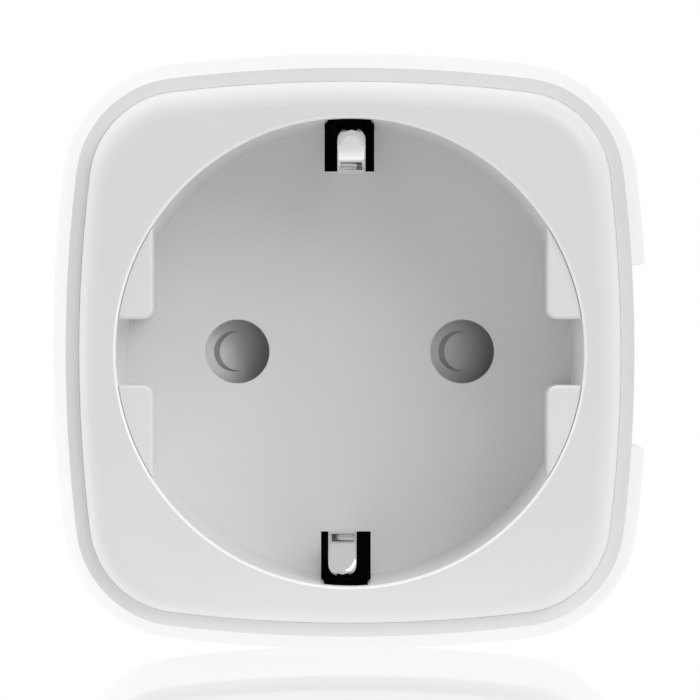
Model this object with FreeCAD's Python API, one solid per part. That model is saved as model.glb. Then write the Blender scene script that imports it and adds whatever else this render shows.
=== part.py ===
"""Mains smart plug: a round earthed socket in front and a round earthed plug behind, as an assembly.

Frame: the wall is the plane Y = 0, +Y goes into the wall, -Y faces the user, +X is the user's right and
+Z is up. The origin is the middle of the flat shoulder that meets the wall outlet, in millimetres.
Each function makes one piece, and main() writes one STEP file for each.
"""
import FreeCAD, Part
import math
import os

V = FreeCAD.Vector

# ---------------------------------------------------------------- driving dimensions
BODY_DEPTH = 42.0          # front face to the wall-side shoulder
BODY_HALF = 23.7           # half width of the body at its front rim
SIDE_RADIUS = 125.0        # the sides bulge on this radius
CORNER_RADIUS = 8.95
FLARE = 1.5                # how much each side swells behind the front rim
SOCKET_RADIUS = 19.5       # round opening for the plug
SOCKET_DEPTH = 17.5
PIN_PITCH = 19.0
PIN_RADIUS = 2.4
PIN_LENGTH = 19.0
PIN_FOOT_RADIUS = 2.9       # the thicker foot of each pin, moulded into the barrel's end wall
PIN_DIMPLE = 0.35          # each pin rises from a shallow dimple in the barrel's end
PIN_DIMPLE_RADIUS = 3.6
BARREL_RADIUS = 18.4
BARREL_LENGTH = 16.5
SHUTTER_TRAVEL = 5.6

# ---------------------------------------------------------------- planes along Y
Y_FRONT = -BODY_DEPTH
Y_PLATE_BACK = Y_FRONT + 1.4
Y_RIM = Y_FRONT + 2.15
Y_SKIRT_END = Y_FRONT + 8.0
Y_FLOOR = Y_FRONT + SOCKET_DEPTH
Y_FLOOR_BACK = Y_FLOOR + 2.0
Y_BASE_FRONT = Y_FLOOR_BACK + 0.05
Y_BASE_BACK = -15.4
Y_BOARD_FRONT = -4.2
Y_BOARD_BACK = -2.6
Y_SHOULDER_IN = -2.0
Y_BARREL_END = BARREL_LENGTH
Y_BARREL_IN = Y_BARREL_END - 2.5
HOLE_X = PIN_PITCH / 2

# ---------------------------------------------------------------- outline of the body
SIDE_CENTRE = BODY_HALF - SIDE_RADIUS
_gap = SIDE_RADIUS - CORNER_RADIUS
CORNER_CENTRE = (SIDE_CENTRE + math.sqrt(2 * _gap ** 2 - SIDE_CENTRE ** 2)) / 2
SIDE_ANGLE = math.degrees(math.atan2(CORNER_CENTRE, CORNER_CENTRE - SIDE_CENTRE))
COVER_OFFSET = -1.13
CAVITY_OFFSET = COVER_OFFSET + 0.02
SCREW_XZ = 16.6
CORNERS = [(sx, sz) for sx in (-1, 1) for sz in (-1, 1)]
SCREW_SPOTS = [(sx * SCREW_XZ, sz * SCREW_XZ) for sx, sz in CORNERS]


def box(x0, x1, y0, y1, z0, z1):
    return Part.makeBox(x1 - x0, y1 - y0, z1 - z0, V(x0, y0, z0))


def rod_y(r, y0, y1, x=0.0, z=0.0):
    return Part.makeCylinder(r, y1 - y0, V(x, y0, z), V(0, 1, 0))


def rod_x(r, x0, x1, y=0.0, z=0.0):
    return Part.makeCylinder(r, x1 - x0, V(x0, y, z), V(1, 0, 0))


def cone_y(r0, r1, y0, y1, x=0.0, z=0.0):
    return Part.makeCone(r0, r1, y1 - y0, V(x, y0, z), V(0, 1, 0))


def fuse(shapes):
    whole = shapes[0]
    for s in shapes[1:]:
        whole = whole.fuse(s)
    return whole.removeSplitter()


def cut(shape, tools):
    for t in tools:
        shape = shape.cut(t)
    return shape


def turned_y(shape, degrees):
    copy = shape.copy()
    copy.rotate(V(0, 0, 0), V(0, 1, 0), degrees)
    return copy


def flipped_z(shape):
    return shape.mirror(V(0, 0, 0), V(0, 0, 1))


def mirrored_four(shape):
    """The shape in the +X +Z quarter, and its mirror images in the other three."""
    pair = [shape, shape.mirror(V(0, 0, 0), V(1, 0, 0))]
    return pair + [flipped_z(s) for s in pair]


def edges_at(shape, test):
    """Edges whose every vertex and middle pass the test."""
    found = []
    for e in shape.Edges:
        mid = e.valueAt((e.FirstParameter + e.LastParameter) / 2)
        if test(mid) and all(test(v.Point) for v in e.Vertexes):
            found.append(e)
    return found


def outline_arcs():
    """The eight arcs of the body's outline: centre X, centre Z, radius, start angle, sweep."""
    arcs = []
    for k in range(4):
        turn = math.radians(90 * k)
        side = (SIDE_CENTRE * math.cos(turn), SIDE_CENTRE * math.sin(turn))
        arcs.append((side[0], side[1], SIDE_RADIUS, 90 * k - SIDE_ANGLE, 2 * SIDE_ANGLE))
        c, s = math.cos(turn), math.sin(turn)
        corner = (CORNER_CENTRE * (c - s), CORNER_CENTRE * (s + c))
        arcs.append((corner[0], corner[1], CORNER_RADIUS, 90 * k + SIDE_ANGLE, 90 - 2 * SIDE_ANGLE))
    return arcs


def outline_face(offset, y):
    """The body's outline, grown by offset, as a flat face at that Y."""
    edges = []
    for cx, cz, r, a0, sweep in outline_arcs():
        pts = []
        for a in (a0, a0 + sweep / 2, a0 + sweep):
            t = math.radians(a)
            pts.append(V(cx + (r + offset) * math.cos(t), y, cz + (r + offset) * math.sin(t)))
        edges.append(Part.Arc(*pts).toShape())
    return Part.Face(Part.Wire(edges))


def prism(offset, y0, y1):
    return outline_face(offset, y0).extrude(V(0, y1 - y0, 0))


def outline_solid(profile):
    """A solid whose side follows the body's outline.

    profile lists (offset, y) points from front to back: two points make a line, three make an arc.
    """
    faces = []
    for cx, cz, r, a0, sweep in outline_arcs():
        t = math.radians(a0)
        for piece in profile:
            pts = [V(cx + (r + o) * math.cos(t), y, cz + (r + o) * math.sin(t)) for o, y in piece]
            edge = (Part.LineSegment(*pts) if len(pts) == 2 else Part.Arc(*pts)).toShape()
            faces.append(edge.revolve(V(cx, 0, cz), V(0, -1, 0), sweep))
    faces.append(outline_face(profile[0][0][0], profile[0][0][1]))
    faces.append(outline_face(profile[-1][-1][0], profile[-1][-1][1]))
    shell = Part.makeShell(faces)
    shell.sewShape()
    solid = Part.makeSolid(shell)
    if solid.Volume < 0:
        solid.reverse()
    return solid


def quarter(o, y, r, from_front):
    """Mid point of a rounded edge of radius r whose sharp corner would be at (o, y)."""
    inset = r * (1 - math.sqrt(0.5))
    return (o - inset, y + inset if from_front else y - inset)


def rounded_slab(x0, x1, y, z, length, width, radius):
    """A slab from x0 to x1 with a rounded rectangle outline, length along Y and width along Z."""
    block = box(x0, x1, y - length / 2, y + length / 2, z - width / 2, z + width / 2)
    upright = [e for e in block.Edges if abs(e.Vertexes[0].X - e.Vertexes[1].X) > 1e-6]
    return block.makeFillet(radius, upright)


def sheet(points, thickness, x0, x1):
    """A bent strip: the (y, z) points are its middle line, and it spans x0 to x1."""
    path = [V(0, y, z) for y, z in points]
    pieces = []
    for a, b in zip(path, path[1:]):
        along = (b - a).normalize()
        side = V(1, 0, 0).cross(along) * (thickness / 2)
        ring = [a + side, b + side, b - side, a - side, a + side]
        face = Part.Face(Part.makePolygon([p + V(x0, 0, 0) for p in ring]))
        pieces.append(face.extrude(V(x1 - x0, 0, 0)))
    for p in path[1:-1]:
        pieces.append(rod_x(thickness / 2, x0, x1, p.y, p.z))
    return fuse(pieces)


# ---------------------------------------------------------------- outer mouldings
COVER_EDGE = 2.0
COVER_WALL = 1.1
POST_RADIUS = 2.6
Y_POST_END = -9.1
PILOT_RADIUS = 1.32
PILOT_DEPTH = 9.0
RIM_CHAMFER = 0.22


def front_cover():
    """White front moulding: rounded face plate, skirt, four screw posts."""
    edge = quarter(COVER_OFFSET, Y_FRONT, COVER_EDGE, True)
    shell = outline_solid([
        [(COVER_OFFSET - COVER_EDGE, Y_FRONT), edge, (COVER_OFFSET, Y_FRONT + COVER_EDGE)],
        [(COVER_OFFSET, Y_FRONT + COVER_EDGE), (COVER_OFFSET, Y_SKIRT_END)],
    ])
    shell = shell.cut(prism(COVER_OFFSET - COVER_WALL, Y_PLATE_BACK, Y_SKIRT_END + 1))
    cover = fuse([shell] + [rod_y(POST_RADIUS, Y_PLATE_BACK - 0.2, Y_POST_END, x, z) for x, z in SCREW_SPOTS])
    pilots = [rod_y(PILOT_RADIUS, Y_POST_END - PILOT_DEPTH, Y_POST_END + 1, x, z) for x, z in SCREW_SPOTS]
    opening = rod_y(SOCKET_RADIUS, Y_FRONT - 1, Y_PLATE_BACK + 1)
    bevel = cone_y(SOCKET_RADIUS + RIM_CHAMFER, SOCKET_RADIUS, Y_FRONT, Y_FRONT + RIM_CHAMFER)
    return cut(cover, pilots + [opening, bevel])


CHANNEL_HALF = 7.65
CHANNEL_Z = -0.35          # the channel sits a little below the middle
CHANNEL_ROUND = 0.6
BACK_EDGE = 3.5
Y_FLARE_END = -20.0
BOSS_RADIUS = 3.3
BOSS_END = -9.0
HEAD_RECESS = 3.0
SHANK_HOLE = 1.45
BUTTON_Y = -11.0
BUTTON_LENGTH = 13.0
BUTTON_WIDTH = 10.4
BUTTON_CORNER = 3.0
BUTTON_GAP = 0.15
BARREL_EDGE = 0.9
FLANGE_RADIUS = 19.35
Y_FLANGE = -0.8
FLANK_X = 16.0              # the barrel's flat flanks
RIB_HALF = 2.55             # the guide rib left between two flanks
FLANK_TOP = 17.45
GROOVE_HALF = 3.0           # the grooves that the earth strips lie in
GROOVE_FLOOR = 15.25
STRIP_HALF = 2.5
STRIP_TOP = 15.9
STRIP_THICKNESS = 0.6
HOOK_BOTTOM = 14.0          # each strip's end is hooked into the barrel down to here
HOLLOW = (16.2, 14.2, 13.4)  # the barrel's hollow: radius, half width, half height
EARTH_HOLE_Z = 10.0
EARTH_HOLE_RADIUS = 2.9
EARTH_POST_RADIUS = 4.2
LEAD_IN = 1.2
HEAD_RECESS_RADIUS = 2.35
Y_STRIP_HOOK = 15.0
Y_STRIP_END = 15.6
PILLAR_RADIUS = 1.4
PAD_RADIUS = 1.5
PILLARS = [(sx * 9.5, sz * 18.8) for sx, sz in CORNERS]
PAD_SPOTS = [(sx * 19.0, sz * 12.2) for sx, sz in CORNERS]


def side_channel():
    """Cutter for the shallow channel down the right side, with rounded lips."""
    lip_x = BODY_HALF + FLARE - 0.23
    outer = lip_x + 2
    half, wide = CHANNEL_HALF, CHANNEL_HALF + CHANNEL_ROUND
    bend = CHANNEL_ROUND * (1 - math.sqrt(0.5))
    low = lip_x - CHANNEL_ROUND
    y = Y_FRONT
    edges = [
        Part.LineSegment(V(20, y, -half), V(low, y, -half)).toShape(),
        Part.Arc(V(low, y, -half), V(lip_x - bend, y, -half - bend), V(lip_x, y, -wide)).toShape(),
        Part.LineSegment(V(lip_x, y, -wide), V(outer, y, -wide)).toShape(),
        Part.LineSegment(V(outer, y, -wide), V(outer, y, wide)).toShape(),
        Part.LineSegment(V(outer, y, wide), V(lip_x, y, wide)).toShape(),
        Part.Arc(V(lip_x, y, wide), V(lip_x - bend, y, half + bend), V(low, y, half)).toShape(),
        Part.LineSegment(V(low, y, half), V(20, y, half)).toShape(),
        Part.LineSegment(V(20, y, half), V(20, y, -half)).toShape(),
    ]
    block = Part.Face(Part.Wire(edges)).extrude(V(0, BODY_DEPTH + 1, 0))
    block.translate(V(0, 0, CHANNEL_Z))
    return block.cut(prism(0.0, Y_FRONT - 1, 2))


def rear_housing():
    """White rear moulding: swelling shell and wall shoulder, with a stepped hole for the plug barrel."""
    bow = (FLARE * 0.76, (Y_RIM + Y_FLARE_END) / 2)
    edge = quarter(FLARE, 0, BACK_EDGE, False)
    body = outline_solid([
        [(0, Y_RIM), bow, (FLARE, Y_FLARE_END)],
        [(FLARE, Y_FLARE_END), (FLARE, -BACK_EDGE)],
        [(FLARE, -BACK_EDGE), edge, (FLARE - BACK_EDGE, 0)],
    ])
    body = body.cut(side_channel())
    body = body.cut(prism(CAVITY_OFFSET, Y_RIM - 1, Y_SHOULDER_IN))
    body = cut(body, [rod_y(BARREL_RADIUS + 0.02, -3, 1), rod_y(FLANGE_RADIUS + 0.05, -3, Y_FLANGE)])
    foot = Y_SHOULDER_IN + 0.5
    bosses = [rod_y(BOSS_RADIUS, BOSS_END, foot, x, z) for x, z in SCREW_SPOTS]
    pillars = [rod_y(PILLAR_RADIUS, Y_BASE_BACK + 0.05, foot, x, z) for x, z in PILLARS]
    pads = [rod_y(PAD_RADIUS, Y_BOARD_BACK + 0.02, foot, x, z) for x, z in PAD_SPOTS]
    body = fuse([body] + bosses + pillars + pads)
    tools = [rod_y(SHANK_HOLE, BOSS_END - 1, 1, x, z) for x, z in SCREW_SPOTS]
    tools += [rod_y(HEAD_RECESS_RADIUS, -HEAD_RECESS, 1, x, z) for x, z in SCREW_SPOTS]
    window_length, window_width = BUTTON_LENGTH + 2 * BUTTON_GAP, BUTTON_WIDTH + 2 * BUTTON_GAP
    window = rounded_slab(20, 26, BUTTON_Y, 0, window_length, window_width, BUTTON_CORNER + BUTTON_GAP)
    return cut(body, tools + [window])


def plug_barrel():
    """White plug insert: round barrel with flanks, guide ribs and earth grooves, held by a flange inside."""
    body = rod_y(BARREL_RADIUS, Y_SHOULDER_IN, Y_BARREL_END)
    flank = box(FLANK_X, FLANK_X + 5, 0, 20, RIB_HALF, FLANK_TOP)
    groove = box(-GROOVE_HALF, GROOVE_HALF, 0, 20, GROOVE_FLOOR, GROOVE_FLOOR + 9)
    body = cut(body, mirrored_four(flank) + [groove, flipped_z(groove)])
    rim = edges_at(body, lambda p: abs(p.y - Y_BARREL_END) < 1e-4)
    body = body.makeChamfer(BARREL_EDGE, rim)
    hollow_radius, half_x, half_z = HOLLOW
    hollow = rod_y(hollow_radius, Y_SHOULDER_IN - 1, Y_BARREL_IN)
    hollow = hollow.common(box(-half_x, half_x, -5, 20, -half_z, half_z))
    body = fuse([body, rod_y(FLANGE_RADIUS, Y_SHOULDER_IN, Y_FLANGE - 0.02)]).cut(hollow)
    body = fuse([body, rod_y(EARTH_POST_RADIUS, 4.0, Y_BARREL_IN + 0.5, 0, EARTH_HOLE_Z)])
    tools = [rod_y(PIN_FOOT_RADIUS + 0.02, 10, 20, s * HOLE_X) for s in (-1, 1)]
    tools += [rod_y(PIN_DIMPLE_RADIUS, Y_BARREL_END - PIN_DIMPLE, 20, s * HOLE_X) for s in (-1, 1)]
    tools.append(rod_y(EARTH_HOLE_RADIUS, 10, 20, 0, EARTH_HOLE_Z))
    mouth = EARTH_HOLE_RADIUS + LEAD_IN
    tools.append(cone_y(EARTH_HOLE_RADIUS, mouth, Y_BARREL_END - LEAD_IN, Y_BARREL_END, 0, EARTH_HOLE_Z))
    tools.append(rod_y(SLEEVE_OUTER + 0.05, 3, Y_SLEEVE_END + 0.05, 0, EARTH_HOLE_Z))
    wide, low, high = STRIP_HALF + 0.1, STRIP_TOP - STRIP_THICKNESS - 0.05, STRIP_TOP + 0.05
    for s in (-1, 1):
        through = box(-wide, wide, -3, 1, low, high)
        hook = box(-wide, wide, Y_STRIP_HOOK - 0.1, Y_STRIP_END + 0.15, HOOK_BOTTOM - 0.2, low + 0.15)
        tools += [through, hook] if s > 0 else [turned_y(through, 180), turned_y(hook, 180)]
    return cut(body, tools)


# ---------------------------------------------------------------- socket side
CUP_WALL_FLOOR_RADIUS = 18.8
CUP_OUTER = 20.7
SEAT_RADIUS = 19.4
Y_CUP_FRONT = Y_PLATE_BACK + 0.05
LUG_X = 16.4
LUG_GAP_HALF = 2.75
LUG_CORNER = 0.85
LUG_EDGE = 0.3
LUG_OUTER = SOCKET_RADIUS - 0.05
Y_LUG_FRONT = Y_FRONT + 0.35
HOLE_RADIUS = 2.69
HOLE_CHAMFER = 0.08
CLIP_SLOT_HALF = 2.1
CLIP_SLOT_Z = 15.2
CLIP_SLOT_CORNER = (1.85, 19.2, 19.45)  # its outer corners: half width at the top, start, end
SLOT_X = {1: -0.05, -1: -0.35}           # middle of the top (1) and the bottom (-1) slot
CLIP_X = {1: 0.12, -1: -0.63}            # middle of each clip, a little off its slot's middle


def lug():
    """The upper right one of the four guide lugs beside the plug's flat flanks."""
    top = math.sqrt(CUP_WALL_FLOOR_RADIUS ** 2 - LUG_X ** 2) + 1.5
    block = box(LUG_X, LUG_X + 4.5, Y_LUG_FRONT, Y_FLOOR, LUG_GAP_HALF, top)
    corner = edges_at(block, lambda p: abs(p.x - LUG_X) < 1e-6 and abs(p.z - LUG_GAP_HALF) < 1e-6)
    block = block.makeFillet(LUG_CORNER, corner)
    inner = LUG_X + 4.4
    front = edges_at(block, lambda p: abs(p.y - Y_LUG_FRONT) < 1e-6 and p.x < inner and p.z < top - 0.01)
    block = block.makeFillet(LUG_EDGE, front)
    return block.common(rod_y(LUG_OUTER, -50, Y_CUP_FRONT).fuse(rod_y(20.0, Y_CUP_FRONT, 0)))


def clip_slots():
    """Cutters for the two slots that the earth clips stand in, through the wall and the floor."""
    narrow, corner_low, corner_high = CLIP_SLOT_CORNER
    side = [(CLIP_SLOT_HALF, CLIP_SLOT_Z), (CLIP_SLOT_HALF, corner_low), (narrow, corner_high), (narrow, 22)]
    ring = side + [(-x, z) for x, z in reversed(side)]
    cutters = []
    for s in (-1, 1):
        points = [V(SLOT_X[s] + x, Y_CUP_FRONT + 1.0, s * z) for x, z in ring]
        cutters.append(Part.Face(Part.makePolygon(points + points[:1])).extrude(V(0, 20, 0)))
    return cutters


def socket_wall():
    """White cone wall that a plug sits in, with four guide lugs."""
    wall = rod_y(CUP_OUTER, Y_CUP_FRONT, Y_FLOOR_BACK)
    well = cone_y(SOCKET_RADIUS, CUP_WALL_FLOOR_RADIUS, Y_CUP_FRONT, Y_FLOOR)
    seat = rod_y(SEAT_RADIUS + 0.05, Y_FLOOR, Y_FLOOR_BACK + 1)
    wall = cut(wall, [well, seat])
    wall = fuse([wall] + mirrored_four(lug()))
    return cut(wall, clip_slots())


def socket_floor():
    """White round plate behind the wall, with the two pin holes."""
    plate = rod_y(SEAT_RADIUS, Y_FLOOR, Y_FLOOR_BACK)
    tools = clip_slots()
    for s in (-1, 1):
        tools.append(rod_y(HOLE_RADIUS, Y_FLOOR - 1, Y_FLOOR_BACK + 1, s * HOLE_X))
        mouth = HOLE_RADIUS + HOLE_CHAMFER
        tools.append(cone_y(mouth, HOLE_RADIUS, Y_FLOOR, Y_FLOOR + HOLE_CHAMFER, s * HOLE_X))
    return cut(plate, tools)


BASE_RADIUS = 20.4
Y_CHAMBER_BACK = -17.0
CHAMBER_X = 18.9
CHAMBER_Z = 3.9
SPRING_Z = 6.1
SPRING_POCKET = (-9.4, 3.4)
Y_SPRING = -20.3
TOWER_HALF_X = 4.3
TOWER_HALF_Z = 4.4
Y_TOWER_END = -4.6
ARM_Z = (20.8, 21.35)       # each arm reaches forward outside the wall, behind its slot
ARM_FOOT_Z = 19.0
ARM_HALF = 2.3
CLIP_WINDOW_HALF = (1.24, 1.4)   # the hole in the base for a clip's root: half width, half height


def contact_base():
    """Black inner base: carries the shutter, the socket contacts and the earth clips."""
    solids = [rod_y(BASE_RADIUS, Y_BASE_FRONT, Y_BASE_BACK)]
    for s in (-1, 1):
        left, right = SLOT_X[s] - ARM_HALF, SLOT_X[s] + ARM_HALF
        foot = box(left, right, Y_BASE_FRONT, Y_BASE_BACK, ARM_FOOT_Z, ARM_Z[1])
        arm = box(left, right, Y_CUP_FRONT + 1.2, Y_BASE_BACK, *ARM_Z)
        solids += [foot, arm] if s > 0 else [flipped_z(foot), flipped_z(arm)]
        left, right = s * HOLE_X - TOWER_HALF_X, s * HOLE_X + TOWER_HALF_X
        solids.append(box(left, right, Y_BASE_BACK - 0.5, Y_TOWER_END, -TOWER_HALF_Z, TOWER_HALF_Z))
    base = fuse(solids)
    y_front, pocket_y = Y_BASE_FRONT - 1, Y_SPRING + 1.9
    tools = [box(-CHAMBER_X, CHAMBER_X, y_front, Y_CHAMBER_BACK, -CHAMBER_Z, CHAMBER_Z)]
    tools.append(box(*SPRING_POCKET, y_front, pocket_y, SPRING_Z - 1.5, SPRING_Z + 1.5))
    tools.append(box(TAB_X[0] - SHUTTER_TRAVEL - 0.3, SPRING_POCKET[1], y_front, pocket_y, 3, SPRING_Z))
    half_x, half_z = CLIP_WINDOW_HALF
    for s in (-1, 1):
        x, root_z = CLIP_X[s], s * CLIP_ROOT[1]
        tools.append(rod_y(2.8, Y_CHAMBER_BACK - 1, Y_BASE_BACK + 0.6, s * HOLE_X))
        tools.append(box(s * HOLE_X - 3.4, s * HOLE_X + 3.4, Y_BASE_BACK + 0.1, Y_TOWER_END + 1, -3.5, 3.5))
        tools.append(box(x - half_x, x + half_x, y_front, Y_BASE_BACK + 1, root_z - half_z, root_z + half_z))
    return cut(base, tools)


SLIDER_X = (-12.6, 18.2)
SLIDER_HALF_Z = 3.7
Y_SLIDER = (-18.6, -17.1)
Y_RAMP_TOP = -22.3
RAMP_RUN = (-2.6, 2.9)
RAMP_FALL = 3.4
RAMP_HALF = 3.3
RAMP_START = -2.95
TAB_X = (1.6, 3.1)         # the tab that the spring pushes on
MOON_RADIUS, MOON_X = 1.72, -0.31   # a crescent groove in each ramp, left round a flat pip
Y_MOON_FLOOR = -20.4
PIP_RADIUS, PIP_X = 1.63, 0.1


def shutter_slider():
    """Safety shutter: two ramps close the holes, and a pair of pins pushes it aside against its spring."""
    solids = [box(*SLIDER_X, *Y_SLIDER, -SLIDER_HALF_Z, SLIDER_HALF_Z)]
    slope = RAMP_FALL / (RAMP_RUN[1] - RAMP_RUN[0])
    crest_end = RAMP_RUN[0]
    foot_end = crest_end + (Y_SLIDER[0] - Y_RAMP_TOP) / slope
    profile = [(RAMP_START, Y_RAMP_TOP), (crest_end, Y_RAMP_TOP), (foot_end, Y_SLIDER[0]),
               (foot_end, Y_SLIDER[1]), (RAMP_START, Y_SLIDER[1])]
    for hole_x in (-HOLE_X, HOLE_X):
        ring = [V(hole_x + x, y, -RAMP_HALF) for x, y in profile]
        ramp = Part.Face(Part.makePolygon(ring + ring[:1])).extrude(V(0, 0, 2 * RAMP_HALF))
        moon = rod_y(MOON_RADIUS, Y_RAMP_TOP - 1, Y_MOON_FLOOR, hole_x + MOON_X)
        solids.append(ramp.cut(moon.cut(rod_y(PIP_RADIUS, -25, -15, hole_x + PIP_X))))
    tab = box(*TAB_X, Y_SPRING - 1.2, Y_SLIDER[1], 3.0, SPRING_Z + 1.2)
    solids.append(tab.cut(box(0, 5, Y_SPRING + 1.8, Y_SLIDER[1] + 1, CHAMBER_Z - 0.1, 10)))
    holes = [rod_y(2.85, -25, -15, s * HOLE_X + SHUTTER_TRAVEL) for s in (-1, 1)]
    return cut(fuse(solids), holes)


SPRING_COIL_RADIUS = 1.05
SPRING_WIRE_RADIUS = 0.18
SPRING_TURNS = 8


def shutter_spring():
    """Coil spring that closes the shutter, lying along X in its pocket."""
    start, end = SPRING_POCKET[0] + 0.25, TAB_X[0] - 0.25
    length = end - start
    helix = Part.makeHelix(length / SPRING_TURNS, length, SPRING_COIL_RADIUS)
    ring = Part.Wire(Part.makeCircle(SPRING_WIRE_RADIUS, V(SPRING_COIL_RADIUS, 0, 0), V(0, 1, 0)))
    coil = Part.Wire(helix).makePipeShell([ring], True, True)
    coil.rotate(V(0, 0, 0), V(0, 1, 0), 90)
    coil.translate(V(start, Y_SPRING, SPRING_Z))
    return coil


CONTACT_OUTER, CONTACT_INNER = 3.05, 2.45
Y_CONTACT = (-15.0, -4.8)
Y_CONTACT_FLOOR = -5.3
CONTACT_SPLIT_HALF = 0.7
TAIL_Z = 2.75


def socket_contact(s):
    """Split brass sleeve that grips one pin, with a solder tail."""
    x = s * HOLE_X
    front, back = Y_CONTACT
    sleeve = rod_y(CONTACT_OUTER, front, back, x)
    mouth = cone_y(CONTACT_OUTER - 0.05, CONTACT_INNER, front, front + 0.8, x)
    split = box(x - 4, x + 4, front - 1, Y_CONTACT_FLOOR, -CONTACT_SPLIT_HALF, CONTACT_SPLIT_HALF)
    sleeve = cut(sleeve, [rod_y(CONTACT_INNER, front - 1, Y_CONTACT_FLOOR, x), mouth, split])
    tail = box(x - 1.0, x + 1.0, Y_CONTACT_FLOOR, Y_BOARD_BACK + 0.7, TAIL_Z - 0.3, TAIL_Z + 0.3)
    return fuse([sleeve, tail])


CLIP_HALF = 1.18
CLIP_ROLL = 0.7
CLIP_THICKNESS = 0.42
CLIP_ROOT = (-16.6, 17.75)
CLIP_LINE = [CLIP_ROOT, (-21.5, 17.35), (-30.0, 15.33), (-31.6, 15.0), (-32.6, 14.95), (-33.5, 15.18),
             (-34.3, 15.65), (-38.0, 18.0)]


def earth_clip(s):
    """Sprung earth clip: rolled root, leg, inward knee and a rounded tip that leans back to the wall."""
    middle = CLIP_X[s]
    low, high = middle - CLIP_HALF, middle + CLIP_HALF
    strip = sheet(CLIP_LINE, CLIP_THICKNESS, low, high)
    tip_y, tip_z = CLIP_LINE[-1]
    ay, az = CLIP_LINE[-2]
    length = math.hypot(tip_y - ay, tip_z - az)
    dy, dz = (tip_y - ay) / length, (tip_z - az) / length
    half = CLIP_THICKNESS / 2
    disc_foot = V(middle, tip_y + dz * half, tip_z - dy * half)
    disc = Part.makeCylinder(CLIP_HALF, CLIP_THICKNESS, disc_foot, V(0, -dz, dy))
    root = rod_x(CLIP_ROLL, low, high, *CLIP_ROOT)
    clip = fuse([strip, disc, root])
    return clip if s > 0 else flipped_z(clip)


Y_STRAP = (-15.3, -14.75)


def earth_strap():
    """Strip behind the base that joins both clips and the plug's earth strips."""
    return box(-2.0, 2.0, *Y_STRAP, -18.7, 18.7)


# ---------------------------------------------------------------- plug side
SLEEVE_INNER = 2.45
SLEEVE_OUTER = 3.05
Y_SLEEVE_END = 13.8


def plug_pin(s):
    """Solid mains pin with a domed tip, a locating collar and a solder tail."""
    x = s * HOLE_X
    root = Y_BARREL_END - PIN_DIMPLE
    tip = root + PIN_LENGTH
    shank = rod_y(PIN_RADIUS, root, tip, x)
    end = edges_at(shank, lambda p: abs(p.y - tip) < 1e-6)
    shank = shank.makeFillet(1.5, end)
    moulded = rod_y(PIN_FOOT_RADIUS, Y_BARREL_IN - 0.5, root, x)
    collar = rod_y(3.2, Y_BARREL_IN - 2.0, Y_BARREL_IN - 0.02, x)
    neck = rod_y(1.5, Y_BOARD_BACK + 0.02, Y_BARREL_IN - 1.5, x)
    tail = rod_y(0.7, Y_BOARD_FRONT + 0.1, Y_BOARD_BACK + 0.5, x)
    return fuse([shank, moulded, collar, neck, tail])


def earth_strip(s):
    """Flat earth contact in the barrel's groove, running through the shoulder to the strap."""
    low = STRIP_TOP - STRIP_THICKNESS
    strip = box(-STRIP_HALF, STRIP_HALF, Y_STRAP[1] + 0.05, Y_STRIP_END, low, STRIP_TOP)
    hook = box(-STRIP_HALF, STRIP_HALF, Y_STRIP_HOOK, Y_STRIP_END, HOOK_BOTTOM, low + 0.1)
    strip = fuse([strip, hook])
    return strip if s > 0 else strip.mirror(V(0, 0, 0), V(0, 0, 1))


def earth_pin_sleeve():
    """Sleeve for an outlet's earth pin, with a long tail to the strap."""
    sleeve = rod_y(SLEEVE_OUTER, 3.4, Y_SLEEVE_END, 0, EARTH_HOLE_Z)
    sleeve = sleeve.cut(rod_y(SLEEVE_INNER, 3.0, Y_SLEEVE_END + 1, 0, EARTH_HOLE_Z))
    sleeve = sleeve.cut(box(-0.4, 0.4, 3.0, 20, EARTH_HOLE_Z - 4, EARTH_HOLE_Z))
    top = EARTH_HOLE_Z + SLEEVE_INNER
    tail = box(-1.2, 1.2, Y_STRAP[1] + 0.05, 3.8, top, top + 0.6)
    return fuse([sleeve, tail])


HEAD_RADIUS = 2.1
HEAD_HEIGHT = 1.5
SHANK_RADIUS = 1.3
Y_SHANK_END = -15.6
CROSS_HALF = (1.2, 0.28)


def housing_screws():
    """Four self-tapping screws with cross recesses, driven from the wall side."""
    screws = []
    seat = -HEAD_RECESS
    for x, z in SCREW_SPOTS:
        head = rod_y(HEAD_RADIUS, seat, seat + HEAD_HEIGHT, x, z)
        head = head.makeFillet(0.5, edges_at(head, lambda p: abs(p.y - seat - HEAD_HEIGHT) < 1e-6))
        shank = rod_y(SHANK_RADIUS, Y_SHANK_END, seat + 0.2, x, z)
        point = cone_y(0.3, SHANK_RADIUS, Y_SHANK_END - 1.6, Y_SHANK_END, x, z)
        long, short = CROSS_HALF
        cross = [box(x - a, x + a, seat + 0.5, 0, z - b, z + b) for a, b in ((long, short), (short, long))]
        screws.append(cut(fuse([head, shank, point]), cross))
    return Part.makeCompound(screws)


# ---------------------------------------------------------------- button side
BUTTON_FACE_OFFSET = -0.1
LIP_X = (21.4, 22.3)
LIP_OVERHANG = 0.9
STEM_RADIUS = 1.7
DISH_RADIUS = 55.0
DISH_DEPTH = 0.42
STEM_END_X = 20.95
GUIDE_Y = -6.9
GUIDE_RADIUS = 0.8
SIDE_BOARD_X = (17.0, 17.8)
SIDE_BOARD_Y = (-15.2, Y_BOARD_FRONT)
SWITCH_TOP_X = 20.0


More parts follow.
